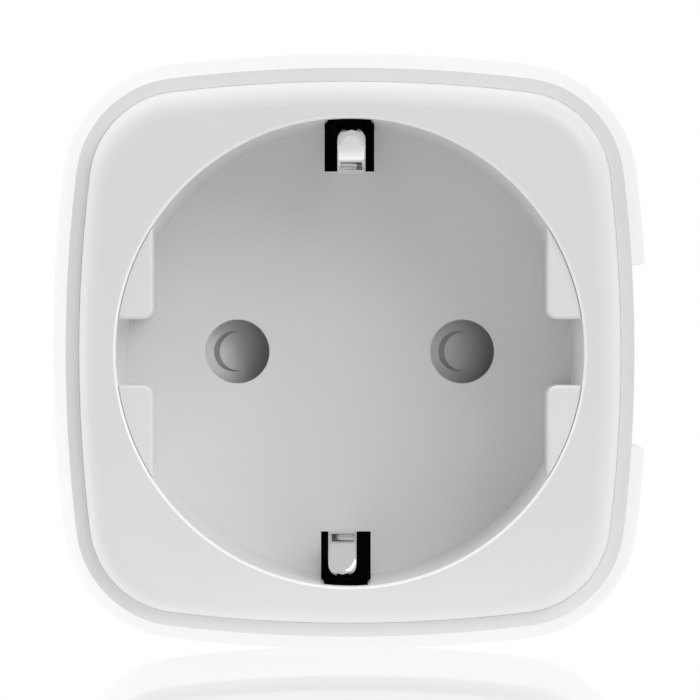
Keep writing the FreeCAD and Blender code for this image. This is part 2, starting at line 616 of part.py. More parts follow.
def power_button():
    """Side key with a shallow finger dish, a retaining lip and a stem that presses the switch."""
    cap = rounded_slab(22.0, 26.0, BUTTON_Y, 0, BUTTON_LENGTH, BUTTON_WIDTH, BUTTON_CORNER)
    cap = cap.common(prism(BUTTON_FACE_OFFSET, Y_FRONT, 0))
    wide = 2 * LIP_OVERHANG
    corner = BUTTON_CORNER + LIP_OVERHANG
    lip = rounded_slab(*LIP_X, BUTTON_Y, 0, BUTTON_LENGTH + wide, BUTTON_WIDTH + wide, corner)
    stem = rod_x(STEM_RADIUS, STEM_END_X, 22.0, BUTTON_Y, 0)
    dish = Part.makeSphere(DISH_RADIUS, V(BODY_HALF - DISH_DEPTH + DISH_RADIUS, BUTTON_Y, 0))
    return cut(fuse([cap, lip, stem]), [dish, rod_x(GUIDE_RADIUS + 0.02, 20, 26, GUIDE_Y, 0)])


def light_guide():
    """Clear rod that brings the status light to the key's face."""
    rod = rod_x(GUIDE_RADIUS, 19.2, 23.4, GUIDE_Y, 0)
    end = edges_at(rod, lambda p: abs(p.x - 23.4) < 1e-6)
    return rod.makeFillet(0.25, end)


def tact_switch():
    """Small square momentary switch."""
    body = box(SIDE_BOARD_X[1], SWITCH_TOP_X, BUTTON_Y - 2.1, BUTTON_Y + 2.1, -2.1, 2.1)
    return body.cut(rod_x(1.15, SIDE_BOARD_X[1] + 0.9, 21, BUTTON_Y, 0))


def switch_plunger():
    return rod_x(1.05, SIDE_BOARD_X[1] + 1.6, STEM_END_X - 0.05, BUTTON_Y, 0)


def status_led():
    lens = box(SIDE_BOARD_X[1] + 0.35, SIDE_BOARD_X[1] + 0.75, GUIDE_Y - 0.4, GUIDE_Y + 0.4, -0.55, 0.55)
    return fuse([box(SIDE_BOARD_X[1], SIDE_BOARD_X[1] + 0.4, GUIDE_Y - 0.4, GUIDE_Y + 0.4, -0.8, 0.8), lens])


def control_board():
    """Upright board that carries the switch and the light."""
    return box(SIDE_BOARD_X[0], SIDE_BOARD_X[1], SIDE_BOARD_Y[0], SIDE_BOARD_Y[1], -10, 10)


def radio_board():
    """Upright board that carries the radio module."""
    return box(-18.6, -17.8, SIDE_BOARD_Y[0], SIDE_BOARD_Y[1], -10, 10)


def radio_shield():
    can = box(-17.8, -15.6, -13.8, -5.2, -8.5, 4.5)
    can = can.makeFillet(0.35, edges_at(can, lambda p: abs(p.x + 15.6) < 1e-6))
    return can.cut(box(-17.9, -15.8, -13.6, -5.4, -8.3, 4.3))


def radio_antenna():
    """Folded copper track at the end of the radio board."""
    bars = []
    low, high, step = -13.6, -6.2, 0.9
    for k in range(5):
        z = 5.4 + k * step
        bars.append(box(-17.8, -17.74, low, high, z, z + 0.35))
        y = low if k % 2 else high - 0.35
        if k < 4:
            bars.append(box(-17.8, -17.74, y, y + 0.35, z, z + step + 0.35))
    return fuse(bars)


# ---------------------------------------------------------------- power board
CAP_SPOTS = [(-7.6, -9.9), (0.0, -9.9)]
CHOKE_X, CHOKE_Z = 8.0, -10.2
RELAY_PINS = [(-3.2, -11.6), (3.2, -11.6), (-3.2, 4.1), (3.2, 4.1)]
RELAY_X = 5.1
RELAY_Z = (-12.9, 5.4)
RELAY_TOP = 11.6
Y_RELAY_BASE = -1.2
LEAD_RADIUS = 0.3


def main_board():
    """Power board, shaped round the screw bosses, the pillars and the earth strips."""
    board = prism(-1.9, Y_BOARD_FRONT, Y_BOARD_BACK)
    tools = [rod_y(3.8, -6, 0, sx * SCREW_XZ, sz * SCREW_XZ) for sx, sz in CORNERS]
    tools += [rod_y(1.8, -6, 0, x, z) for x, z in PILLARS]
    tools += [box(-2.9, 2.9, -6, 0, s * 18.6 - 4, s * 18.6 + 4) for s in (-1, 1)]
    tools += [box(-1.6, 1.6, -6, 0, 12.1, 15.0)]
    tools += [rod_y(0.75, -6, 0, s * HOLE_X) for s in (-1, 1)]
    tools += [box(s * HOLE_X - 1.15, s * HOLE_X + 1.15, -6, 0, 2.3, 3.2) for s in (-1, 1)]
    tools += [rod_y(0.5, -6, 0, x, z) for x, z in RELAY_PINS]
    tools += [box(20.6, 24, -6, 0, -7.2, 7.2)]
    return cut(board, tools)


def capacitors():
    cans = []
    for x, z in CAP_SPOTS:
        can = rod_y(3.15, Y_BOARD_FRONT - 9.8, Y_BOARD_FRONT, x, z)
        can = can.makeFillet(0.4, edges_at(can, lambda p: abs(p.y - Y_BOARD_FRONT + 9.8) < 1e-6))
        groove = rod_y(3.3, Y_BOARD_FRONT - 1.6, Y_BOARD_FRONT - 1.1, x, z).cut(rod_y(2.95, -20, 0, x, z))
        cans.append(can.cut(groove))
    return Part.makeCompound(cans)


def choke_core():
    base = rod_y(3.3, Y_BOARD_FRONT - 1.0, Y_BOARD_FRONT, CHOKE_X, CHOKE_Z)
    top = rod_y(3.3, Y_BOARD_FRONT - 7.0, Y_BOARD_FRONT - 6.0, CHOKE_X, CHOKE_Z)
    return fuse([base, top, rod_y(1.6, Y_BOARD_FRONT - 6.5, Y_BOARD_FRONT - 0.5, CHOKE_X, CHOKE_Z)])


def choke_winding():
    coil = rod_y(2.9, Y_BOARD_FRONT - 5.98, Y_BOARD_FRONT - 1.02, CHOKE_X, CHOKE_Z)
    return coil.cut(rod_y(1.62, -20, 0, CHOKE_X, CHOKE_Z))


def varistor():
    """Blue disc across the mains, standing on two leads."""
    disc = rod_x(3.5, 6.4, 9.0, Y_BOARD_FRONT - 5.0, 9.6)
    disc = disc.makeFillet(0.9, disc.Edges)
    leads = [rod_y(LEAD_RADIUS, Y_BOARD_FRONT - 3.0, Y_BOARD_FRONT, 7.7, 9.6 + s * 1.9) for s in (-1, 1)]
    return fuse([disc] + leads)


def fuse_resistor():
    body = rod_x(1.5, -11.5, -4.5, Y_BOARD_FRONT - 2.4, 8.4)
    body = body.makeFillet(0.5, body.Edges)
    y = Y_BOARD_FRONT - 2.4
    for bend_x, body_x in ((-12.3, -11.0), (-3.7, -5.0)):
        body = body.fuse(rod_y(LEAD_RADIUS, y, Y_BOARD_FRONT, bend_x, 8.4))
        body = body.fuse(rod_x(LEAD_RADIUS, min(bend_x, body_x), max(bend_x, body_x), y, 8.4))
        body = body.fuse(Part.makeSphere(LEAD_RADIUS, V(bend_x, y, 8.4)))
    return body.removeSplitter()


def board_chips():
    """Rectifier, converter and metering chips as one group."""
    y1 = Y_BOARD_FRONT
    return Part.makeCompound([
        box(12.6, 16.6, y1 - 2.4, y1, -11.6, -6.8),
        box(10.6, 14.6, y1 - 1.5, y1, 6.6, 11.4),
        box(-9.6, -4.8, y1 - 1.5, y1, 11.0, 14.4),
        box(-15.0, -11.8, y1 - 1.2, y1, -11.0, -7.0),
    ])


# ---------------------------------------------------------------- relay
COIL_Z = -8.1
YOKE_Z = (-3.3, -2.6)
ARMATURE_Y = (9.35, 9.95)


def relay_base():
    base = box(-RELAY_X, RELAY_X, Y_BOARD_BACK + 0.02, Y_RELAY_BASE, RELAY_Z[0], RELAY_Z[1])
    return cut(base, [rod_y(0.42, -6, 0, x, z) for x, z in RELAY_PINS])


def relay_cover():
    wall = 0.6
    inner_x, low, high = RELAY_X - wall, RELAY_Z[0] + wall, RELAY_Z[1] - wall
    shell = box(-RELAY_X, RELAY_X, Y_RELAY_BASE + 0.02, RELAY_TOP, *RELAY_Z)
    shell = shell.makeFillet(0.5, edges_at(shell, lambda p: abs(p.y - RELAY_TOP) < 1e-6))
    return shell.cut(box(-inner_x, inner_x, -3, RELAY_TOP - wall, low, high))


def relay_terminals():
    low, high = Y_BOARD_FRONT - 0.5, Y_RELAY_BASE - 0.02
    return Part.makeCompound([rod_y(0.4, low, high, x, z) for x, z in RELAY_PINS])


def relay_bobbin():
    flanges = [rod_y(3.9, y, y + 0.5, 0, COIL_Z) for y in (-0.2, 7.9)]
    tube = rod_y(1.75, -0.2, 8.4, 0, COIL_Z)
    return cut(fuse(flanges + [tube]), [rod_y(1.22, -2, 12, 0, COIL_Z)])


def relay_winding():
    return rod_y(3.6, 0.32, 7.88, 0, COIL_Z).cut(rod_y(1.77, -2, 12, 0, COIL_Z))


def relay_yoke():
    """Iron frame: core, foot plate and upright, with a rounded edge that the armature tips on."""
    foot = box(-3.7, 3.7, -1.15, -0.25, -11.8, YOKE_Z[1])
    upright = box(-3.7, 3.7, -1.15, 9.0, YOKE_Z[0], YOKE_Z[1])
    edge = rod_x(0.35, -3.7, 3.7, 9.0, sum(YOKE_Z) / 2)
    core = rod_y(1.2, -0.3, 8.8, 0, COIL_Z)
    return fuse([foot, upright, edge, core])


def relay_armature():
    return box(-3.7, 3.7, ARMATURE_Y[0], ARMATURE_Y[1], -11.8, YOKE_Z[1])


def relay_contact_arm():
    """Sprung blade fixed to the armature, with a contact rivet at its end."""
    blade = box(-1.6, 1.6, ARMATURE_Y[0] + 0.1, ARMATURE_Y[1] - 0.2, YOKE_Z[1] + 0.02, 3.5)
    rivet = rod_y(0.8, ARMATURE_Y[0] + 0.1, ARMATURE_Y[1], 0, 2.7)
    return fuse([blade, rivet])


def relay_fixed_contact():
    post = box(-1.6, 1.6, Y_RELAY_BASE + 0.02, 10.7, 4.2, 4.6)
    shelf = box(-1.6, 1.6, 10.35, 10.7, 1.8, 4.4)
    return fuse([post, shelf])


# ---------------------------------------------------------------- all pieces
PIECES = {
    "front_cover": front_cover,
    "rear_housing": rear_housing,
    "plug_barrel": plug_barrel,
    "socket_wall": socket_wall,
    "socket_floor": socket_floor,
    "contact_base": contact_base,
    "shutter_slider": shutter_slider,
    "shutter_spring": shutter_spring,
    "line_socket_contact": lambda: socket_contact(1),
    "neutral_socket_contact": lambda: socket_contact(-1),
    "earth_clip_top": lambda: earth_clip(1),
    "earth_clip_bottom": lambda: earth_clip(-1),
    "earth_strap": earth_strap,
    "line_plug_pin": lambda: plug_pin(1),
    "neutral_plug_pin": lambda: plug_pin(-1),
    "earth_strip_top": lambda: earth_strip(1),
    "earth_strip_bottom": lambda: earth_strip(-1),
    "earth_pin_sleeve": earth_pin_sleeve,
    "housing_screws": housing_screws,
    "power_button": power_button,
    "light_guide": light_guide,
    "tact_switch": tact_switch,
    "switch_plunger": switch_plunger,
    "status_led": status_led,
    "control_board": control_board,
    "radio_board": radio_board,
    "radio_shield": radio_shield,
    "radio_antenna": radio_antenna,
    "main_board": main_board,
    "capacitors": capacitors,
    "choke_core": choke_core,
    "choke_winding": choke_winding,
    "varistor": varistor,
    "fuse_resistor": fuse_resistor,
    "board_chips": board_chips,
    "relay_base": relay_base,
    "relay_cover": relay_cover,
    "relay_terminals": relay_terminals,
    "relay_bobbin": relay_bobbin,
    "relay_winding": relay_winding,
    "relay_yoke": relay_yoke,
    "relay_armature": relay_armature,
    "relay_contact_arm": relay_contact_arm,
    "relay_fixed_contact": relay_fixed_contact,
}


def main():
    os.makedirs("parts", exist_ok=True)
    for name, make in PIECES.items():
        shape = make()
        solids = shape.Solids
        print(f"{name:24s} solids {len(solids)}  volume {shape.Volume:9.2f}  valid {shape.isValid()}")
        if len(solids) == 1:
            shape = solids[0]
        shape.exportStep(f"parts/{name}.step")


main()
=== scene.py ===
"""Mains smart plug: a rounded-square white body with a round earthed socket in front and a plug behind."""
import math

import bmesh
import bpy
from mathutils import Matrix, Vector


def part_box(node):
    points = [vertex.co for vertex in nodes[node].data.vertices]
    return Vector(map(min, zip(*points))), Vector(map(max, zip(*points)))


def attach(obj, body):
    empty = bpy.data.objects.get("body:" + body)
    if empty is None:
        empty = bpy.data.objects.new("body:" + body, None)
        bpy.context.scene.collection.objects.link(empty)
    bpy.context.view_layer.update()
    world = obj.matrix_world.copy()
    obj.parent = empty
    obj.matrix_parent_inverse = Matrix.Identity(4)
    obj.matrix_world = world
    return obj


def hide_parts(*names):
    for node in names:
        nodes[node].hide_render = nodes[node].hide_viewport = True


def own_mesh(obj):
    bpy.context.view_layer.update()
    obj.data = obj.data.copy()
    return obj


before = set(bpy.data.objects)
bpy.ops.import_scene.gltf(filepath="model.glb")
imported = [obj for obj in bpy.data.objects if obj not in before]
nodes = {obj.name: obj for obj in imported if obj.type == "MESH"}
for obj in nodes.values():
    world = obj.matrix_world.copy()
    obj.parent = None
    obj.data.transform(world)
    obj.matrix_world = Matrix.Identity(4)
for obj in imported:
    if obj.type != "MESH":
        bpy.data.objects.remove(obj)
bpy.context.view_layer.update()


# ---------------------------------------------------------------- camera
# A long lens about a metre in front of the face, level with the middle of the recess.
front_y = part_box("front_cover")[0].y
distance, lens_drop, aim_height = 1.08, 0.0040, 0.00019
camera_data = bpy.data.cameras.new("camera")
camera_data.lens = 668
camera_data.sensor_width = 36
camera = bpy.data.objects.new("camera", camera_data)
target = Vector((0.0, front_y, aim_height))
camera.location = target + Vector((0.0, -distance, lens_drop))
camera.rotation_euler = (target - camera.location).to_track_quat("-Z", "Y").to_euler()
bpy.context.scene.collection.objects.link(camera)
bpy.context.scene.camera = camera
bpy.context.scene.view_settings.view_transform = "Standard"


# ---------------------------------------------------------------- studio
# A white table that mirrors the plug faintly just in front of it, a bright white room, and one large
# soft lamp high on the right. The room is dimmer behind the camera, so edges read brighter than the face.
table_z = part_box("rear_housing")[0].z


class Graph:
    """The node tree of a world, a material or a geometry group."""

    def __init__(self, tree):
        self.tree = tree

    def new(self, kind):
        return self.tree.nodes.new(kind)

    def join(self, output, socket):
        self.tree.links.new(output, socket)

    def math(self, operation, a, b=0.0, clamp=False):
        node = self.new("ShaderNodeMath")
        node.operation = operation
        node.use_clamp = clamp
        for socket, value in zip(node.inputs, (a, b)):
            if isinstance(value, (int, float)):
                socket.default_value = value
            else:
                self.join(value, socket)
        return node.outputs[0]


def fresh_graph(holder):
    """An empty shader tree in a world or a material."""
    holder.use_nodes = True
    holder.node_tree.nodes.clear()
    return Graph(holder.node_tree)


room = bpy.data.worlds.new("room")
bpy.context.scene.world = room
graph = fresh_graph(room)
room_front, room_side, room_back, lean_x, lean_z = 0.36, 1.82, 0.83, 0.90, 0.84
fall_front, fall_back, shown_front, shown_back = 4.5, 3.8, 0.62, 1.0
direction = graph.new("ShaderNodeTexCoord").outputs["Generated"]
parts = graph.new("ShaderNodeSeparateXYZ")
graph.join(direction, parts.inputs[0])
towards_viewer = graph.math("MULTIPLY", parts.outputs["Y"], -1.0)
in_front = graph.math("GREATER_THAN", towards_viewer, 0.0)
squared = graph.math("POWER", graph.math("ABSOLUTE", towards_viewer), 2.0)
across = graph.math("SUBTRACT", 1.0, squared)


def either(front_value, back_value):
    """One value in front of the plug's face and another behind it."""
    return graph.math("ADD", graph.math("MULTIPLY", in_front, front_value - back_value), back_value)


sideways = graph.math("POWER", across, either(fall_front, fall_back))
base = either(room_front, room_back)
rise = graph.math("SUBTRACT", room_side, base)
glow = graph.math("ADD", graph.math("MULTIPLY", sideways, rise), base)
lean = graph.math("ADD", graph.math("MULTIPLY", parts.outputs["X"], -lean_x),
                 graph.math("MULTIPLY", parts.outputs["Z"], -lean_z))
lean = graph.math("MULTIPLY", lean, sideways)
glow = graph.math("ADD", glow, lean)
path = graph.new("ShaderNodeLightPath")
seen = graph.math("MAXIMUM", path.outputs["Is Camera Ray"], path.outputs["Is Glossy Ray"])
lit, shown = graph.new("ShaderNodeBackground"), graph.new("ShaderNodeBackground")
graph.join(glow, lit.inputs["Strength"])
for background in (lit, shown):
    background.inputs["Color"].default_value = (1, 1, 1, 1)
graph.join(either(shown_front, shown_back), shown.inputs["Strength"])
pick = graph.new("ShaderNodeMixShader")
graph.join(seen, pick.inputs[0])
graph.join(lit.outputs[0], pick.inputs[1])
graph.join(shown.outputs[0], pick.inputs[2])
graph.join(pick.outputs[0], graph.new("ShaderNodeOutputWorld").inputs[0])

lamp_data = bpy.data.lights.new("softbox", "AREA")
lamp_data.shape = "DISK"
lamp_data.size = 1.05
lamp_data.energy = 6.5
lamp = bpy.data.objects.new("softbox", lamp_data)
lamp.location = (0.66, front_y - 0.79, 0.69)
lamp.rotation_euler = (Vector((0, front_y, 0)) - lamp.location).to_track_quat("-Z", "Y").to_euler()
bpy.context.scene.collection.objects.link(lamp)

bpy.ops.mesh.primitive_plane_add(size=12, location=(0, 0, table_z - 0.00015))
table = bpy.context.object
table.name = "table"
table_white = bpy.data.materials.new("table_white")
graph = fresh_graph(table_white)
mirror = graph.new("ShaderNodeBsdfGlossy")
mirror.inputs["Color"].default_value = (1, 1, 1, 1)
mirror.inputs["Roughness"].default_value = 0.03
place = graph.new("ShaderNodeSeparateXYZ")
graph.join(graph.new("ShaderNodeTexCoord").outputs["Object"], place.inputs[0])
mirror_start, mirror_reach, mirror_back, mirror_most = front_y + 0.004, 0.24, 0.06, 0.98
ahead = graph.math("SUBTRACT", mirror_start, place.outputs["Y"])
fade = graph.math("SUBTRACT", 1.0, graph.math("DIVIDE", ahead, mirror_reach), clamp=True)
inside = graph.math("GREATER_THAN", ahead, -mirror_back)
amount = graph.math("MULTIPLY", graph.math("MULTIPLY", fade, mirror_most), inside)
glow_white = graph.new("ShaderNodeEmission")
glow_white.inputs["Strength"].default_value = 1.0
both = graph.new("ShaderNodeMixShader")
graph.join(amount, both.inputs[0])
graph.join(glow_white.outputs[0], both.inputs[1])
graph.join(mirror.outputs[0], both.inputs[2])
under = graph.new("ShaderNodeEmission")
under_near, under_far, under_start, under_reach = 1.05, 0.60, 0.002, 0.012
outward = graph.math("SUBTRACT", front_y - under_start, place.outputs["Y"])
outward = graph.math("DIVIDE", outward, under_reach, clamp=True)
fall = graph.math("MULTIPLY", outward, under_far - under_near)
graph.join(graph.math("ADD", fall, under_near), under.inputs["Strength"])
seen_or_lit = graph.new("ShaderNodeMixShader")
graph.join(graph.new("ShaderNodeLightPath").outputs["Is Camera Ray"], seen_or_lit.inputs[0])
graph.join(under.outputs[0], seen_or_lit.inputs[1])
graph.join(both.outputs[0], seen_or_lit.inputs[2])
graph.join(seen_or_lit.outputs[0], graph.new("ShaderNodeOutputMaterial").inputs[0])
table.data.materials.append(table_white)


# ---------------------------------------------------------------- front cover and rear housing
# Two injection-moulded polycarbonate shells with a satin, finely etched skin. The cover slides into the
# housing, and four screws from the wall side pull them together.
MM = 0.001


def principled(name, colour, roughness, metallic=0.0, specular=0.5):
    """A material with its shader, its object coordinates and its output already in place."""
    material = bpy.data.materials.new(name)
    graph = fresh_graph(material)
    shader = graph.new("ShaderNodeBsdfPrincipled")
    shader.inputs["Base Color"].default_value = (*colour, 1)
    shader.inputs["Roughness"].default_value = roughness
    shader.inputs["Metallic"].default_value = metallic
    shader.inputs["Specular IOR Level"].default_value = specular
    graph.join(shader.outputs[0], graph.new("ShaderNodeOutputMaterial").inputs[0])
    where = graph.new("ShaderNodeTexCoord").outputs["Object"]
    return material, graph, shader, where


def noise(graph, where, scale, detail=3.0, stretch=(1, 1, 1)):
    """Noise with that many grains per metre, drawn out along an axis where stretch is small."""
    mapping = graph.new("ShaderNodeMapping")
    mapping.inputs["Scale"].default_value = [scale * s for s in stretch]
    graph.join(where, mapping.inputs["Vector"])
    texture = graph.new("ShaderNodeTexNoise")
    texture.inputs["Scale"].default_value = 1.0
    texture.inputs["Detail"].default_value = detail
    graph.join(mapping.outputs[0], texture.inputs["Vector"])
    return texture.outputs["Fac"]


def tint(graph, amount, shader, low, high, start=0.35, end=0.65):
    """The base colour runs from low to high as amount goes from start to end."""
    ramp = graph.new("ShaderNodeValToRGB")
    for element, position, colour in zip(ramp.color_ramp.elements, (start, end), (low, high)):
        element.position = position
        element.color = (*colour, 1)
    graph.join(amount, ramp.inputs[0])
    graph.join(ramp.outputs[0], shader.inputs["Base Color"])


def vary_roughness(graph, amount, shader, low, high):
    span = graph.new("ShaderNodeMapRange")
    for label, value in (("From Min", 0.3), ("From Max", 0.7), ("To Min", low), ("To Max", high)):
        span.inputs[label].default_value = value
    graph.join(amount, span.inputs["Value"])
    graph.join(span.outputs[0], shader.inputs["Roughness"])


def emboss(graph, height, shader, depth, strength=1.0):
    """Relief of that depth in metres."""
    bump = graph.new("ShaderNodeBump")
    bump.inputs["Strength"].default_value = strength
    bump.inputs["Distance"].default_value = depth
    graph.join(height, bump.inputs["Height"])
    graph.join(bump.outputs[0], shader.inputs["Normal"])


def moulded(name, low, high, roughness, grain=5000, depth=0.000002):
    """Moulded plastic: slight cloudiness, uneven gloss and a fine etched grain."""
    material, graph, shader, where = principled(name, high, roughness)
    tint(graph, noise(graph, where, 70, 4), shader, low, high)
    fine = noise(graph, where, grain, 2)
    vary_roughness(graph, fine, shader, roughness - 0.04, roughness + 0.05)
    emboss(graph, fine, shader, depth)
    return material


def give(material, *names):
    """Paint those carried-over nodes."""
    for name in names:
        slots = nodes[name].data.materials
        slots.clear()
        slots.append(material)


white_shell = moulded("white_shell", (0.845, 0.845, 0.845), (0.865, 0.865, 0.865), 0.36, 6500)
give(white_shell, "rear_housing")

# The cover has the same finish, with a painted highlight: the thin bevel round its opening glows faintly
# white.
RIM_RADIUS, RIM_BEVEL, PAINTED_RIM_HIGHLIGHT = 19.5 * MM, 0.22 * MM, 0.16
cover_white = white_shell.copy()
cover_white.name = "cover_white"
graph = Graph(cover_white.node_tree)
shader = graph.tree.nodes["Principled BSDF"]
parts = graph.new("ShaderNodeSeparateXYZ")
graph.join(graph.new("ShaderNodeTexCoord").outputs["Object"], parts.inputs[0])
squares = [graph.math("POWER", graph.math("ABSOLUTE", parts.outputs[axis]), 2.0) for axis in "XZ"]
radius = graph.math("SQRT", graph.math("ADD", *squares))
near_opening = graph.math("LESS_THAN", radius, RIM_RADIUS + RIM_BEVEL)
near_face = graph.math("LESS_THAN", parts.outputs["Y"], front_y + RIM_BEVEL)
edge = graph.math("MULTIPLY", near_opening, near_face)
# The bevel band glows white: a painted highlight.
graph.join(graph.math("MULTIPLY", edge, PAINTED_RIM_HIGHLIGHT), shader.inputs["Emission Strength"])
shader.inputs["Emission Color"].default_value = (1, 1, 1, 1)
give(cover_white, "front_cover")


# ---------------------------------------------------------------- plug barrel
# The round white insert that enters the outlet, moulded in the same polycarbonate with a slightly
# coarser grain. Its flange is trapped inside the housing, and it holds the pins and the earth strips.
barrel_white = moulded("barrel_white", (0.83, 0.83, 0.825), (0.855, 0.855, 0.85), 0.42, 4800, 0.000003)
give(barrel_white, "plug_barrel")


# ---------------------------------------------------------------- socket wall and floor
# The recess that a plug sits in: a tapered wall with four guide lugs, and a round plate behind it with
# the pin holes. Both are white polycarbonate, clamped between the cover and the black base.
# Its white is set a little brighter than the shell's: painted light that offsets the shade inside the
# recess.
white_insert = moulded("white_insert", (0.86, 0.86, 0.86), (0.88, 0.88, 0.88), 0.42, 5200, 0.0000025)
give(white_insert, "socket_wall", "socket_floor")


# ---------------------------------------------------------------- contact base
# Glass-filled black moulding behind the recess. It carries the shutter, the socket contacts and the
# clips, and its two arms show as the black sides of the clip slots.
# Its black is set almost lightless and its gloss low: partly painted shade for the depth of the clip slots.
black_base = moulded("black_base", (0.001, 0.001, 0.001), (0.002, 0.002, 0.002), 0.8, 4200, 0.000004)
black_base.node_tree.nodes["Principled BSDF"].inputs["Specular IOR Level"].default_value = 0.12
give(black_base, "contact_base")


# ---------------------------------------------------------------- safety shutter
# A white nylon slider whose ramps close the pin holes. A coil spring of drawn steel wire in a pocket
# of the base pushes it back when the plug's pins are pulled out.
shutter_white = moulded("shutter_white", (0.90, 0.90, 0.90), (0.92, 0.92, 0.92), 0.35, 5200)
give(shutter_white, "shutter_slider")


def metal(name, low, high, roughness, stretch=(1, 1, 1), depth=0.0000006):
    """Metal with fine marks drawn along the axes where stretch is small, and slight tarnish."""
    material, graph, shader, where = principled(name, high, roughness, metallic=1.0)
    tint(graph, noise(graph, where, 260, 5), shader, low, high)
    marks = noise(graph, where, 9000, 3, stretch)
    vary_roughness(graph, marks, shader, roughness * 0.7, roughness * 1.5)
    emboss(graph, marks, shader, depth)
    return material


def new_tree(name, inputs):
    """An empty geometry tree with named inputs: a list of label, socket kind and default."""
    tree = bpy.data.node_groups.new(name, "GeometryNodeTree")
    tree.interface.new_socket("Geometry", in_out="INPUT", socket_type="NodeSocketGeometry")
    for label, kind, default in inputs + [("Finish", "Material", None)]:
        socket = tree.interface.new_socket(label, in_out="INPUT", socket_type="NodeSocket" + kind)
        if default is not None:
            socket.default_value = default
    tree.interface.new_socket("Geometry", in_out="OUTPUT", socket_type="NodeSocketGeometry")
    graph = Graph(tree)
    return graph, graph.new("NodeGroupInput").outputs


def place_copies(graph, given, part):
    """End a tree: one copy of the part at every incoming point, turned, made real and painted."""
    copies = graph.new("GeometryNodeInstanceOnPoints")
    turn = graph.new("FunctionNodeEulerToRotation")
    graph.join(given["Turn"], turn.inputs[0])
    graph.join(given["Geometry"], copies.inputs["Points"])
    graph.join(part, copies.inputs["Instance"])
    graph.join(turn.outputs[0], copies.inputs["Rotation"])
    real = graph.new("GeometryNodeRealizeInstances")
    graph.join(copies.outputs[0], real.inputs[0])
    painted = graph.new("GeometryNodeSetMaterial")
    graph.join(real.outputs[0], painted.inputs["Geometry"])
    graph.join(given["Finish"], painted.inputs["Material"])
    graph.join(painted.outputs[0], graph.new("NodeGroupOutput").inputs[0])


def grown(name, graph, places, finish, slot, body="casing", replaces=(), **values):
    """The plain mesh that a geometry tree makes at those places, riding on its body."""
    points = bpy.data.meshes.new(name)
    points.from_pydata([tuple(place) for place in places], [], [])
    piece = bpy.data.objects.new(name, points)
    bpy.context.scene.collection.objects.link(piece)
    modifier = piece.modifiers.new("grown", "NODES")
    modifier.node_group = graph.tree
    values = {label.replace("_", " ").title(): value for label, value in values.items()}
    values["Finish"] = finish
    for item in graph.tree.interface.items_tree:
        if item.in_out == "INPUT" and item.name in values:
            modifier[item.identifier] = values[item.name]
    evaluated = piece.evaluated_get(bpy.context.evaluated_depsgraph_get())
    mesh = bpy.data.meshes.new_from_object(evaluated)
    piece.modifiers.remove(modifier)
    piece.data = mesh
    mesh.name = name
    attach(piece, body)
    if replaces:
        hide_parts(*replaces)
    return piece


# A wound wire stands along Z. Its turns lie closer at the ends where closed_ends is above 0, and it
# goes up and down once for each layer.
wound_wire, given = new_tree("wound_wire", [
    ("Length", "Float", 0.01), ("Radius", "Float", 0.001), ("Wire", "Float", 0.0002),
    ("Turns", "Float", 8.0), ("Layers", "Float", 1.0), ("Closed Ends", "Float", 0.0),
    ("Sides", "Int", 8), ("Turn", "Vector", (0, 0, 0))])
graph = wound_wire
line = graph.new("GeometryNodeCurvePrimitiveLine")
steps = graph.new("GeometryNodeResampleCurve")
graph.join(line.outputs[0], steps.inputs["Curve"])
STEPS_PER_TURN, LAYER_STEP = 22, 1.75
all_turns = graph.math("MULTIPLY", given["Turns"], given["Layers"])
graph.join(graph.math("MULTIPLY", all_turns, STEPS_PER_TURN), steps.inputs["Count"])
along = graph.new("GeometryNodeSplineParameter").outputs["Factor"]
progress = graph.math("MULTIPLY", along, given["Layers"])
in_layer = graph.math("PINGPONG", progress, 1.0)
layer = graph.math("MULTIPLY", progress, given["Wire"])
swing = graph.math("SINE", graph.math("MULTIPLY", in_layer, 2 * math.pi))
swing = graph.math("MULTIPLY", graph.math("DIVIDE", swing, 2 * math.pi), given["Closed Ends"])
height = graph.math("MULTIPLY", graph.math("SUBTRACT", in_layer, swing), given["Length"])
angle = graph.math("MULTIPLY", graph.math("MULTIPLY", along, all_turns), 2 * math.pi)
reach = graph.math("ADD", given["Radius"], graph.math("MULTIPLY", layer, LAYER_STEP))
spot = graph.new("ShaderNodeCombineXYZ")
graph.join(graph.math("MULTIPLY", reach, graph.math("COSINE", angle)), spot.inputs[0])
graph.join(graph.math("MULTIPLY", reach, graph.math("SINE", angle)), spot.inputs[1])
graph.join(height, spot.inputs[2])
bent = graph.new("GeometryNodeSetPosition")
graph.join(steps.outputs[0], bent.inputs["Geometry"])
graph.join(spot.outputs[0], bent.inputs["Position"])
section = graph.new("GeometryNodeCurvePrimitiveCircle")
graph.join(given["Sides"], section.inputs["Resolution"])
graph.join(given["Wire"], section.inputs["Radius"])
solid = graph.new("GeometryNodeCurveToMesh")
solid.inputs["Fill Caps"].default_value = True
graph.join(bent.outputs[0], solid.inputs["Curve"])
graph.join(section.outputs["Curve"], solid.inputs["Profile Curve"])
place_copies(wound_wire, given, solid.outputs[0])

spring_steel_wire = metal("spring_steel_wire", (0.50, 0.50, 0.52), (0.66, 0.66, 0.67), 0.28)
low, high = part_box("shutter_spring")
SPRING_WIRE = 0.18 * MM
SPRING_RADIUS = 1.05 * MM
spring_start = (low.x + SPRING_WIRE, (low.y + high.y) / 2, (low.z + high.z) / 2)
spring = grown("closing_spring", wound_wire, [spring_start], spring_steel_wire, "spring_wire",
               replaces=["shutter_spring"], length=high.x - low.x - 2 * SPRING_WIRE, radius=SPRING_RADIUS,
               wire=SPRING_WIRE, turns=10.0, closed_ends=0.75, sides=12, turn=(0, math.pi / 2, 0))
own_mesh(spring)


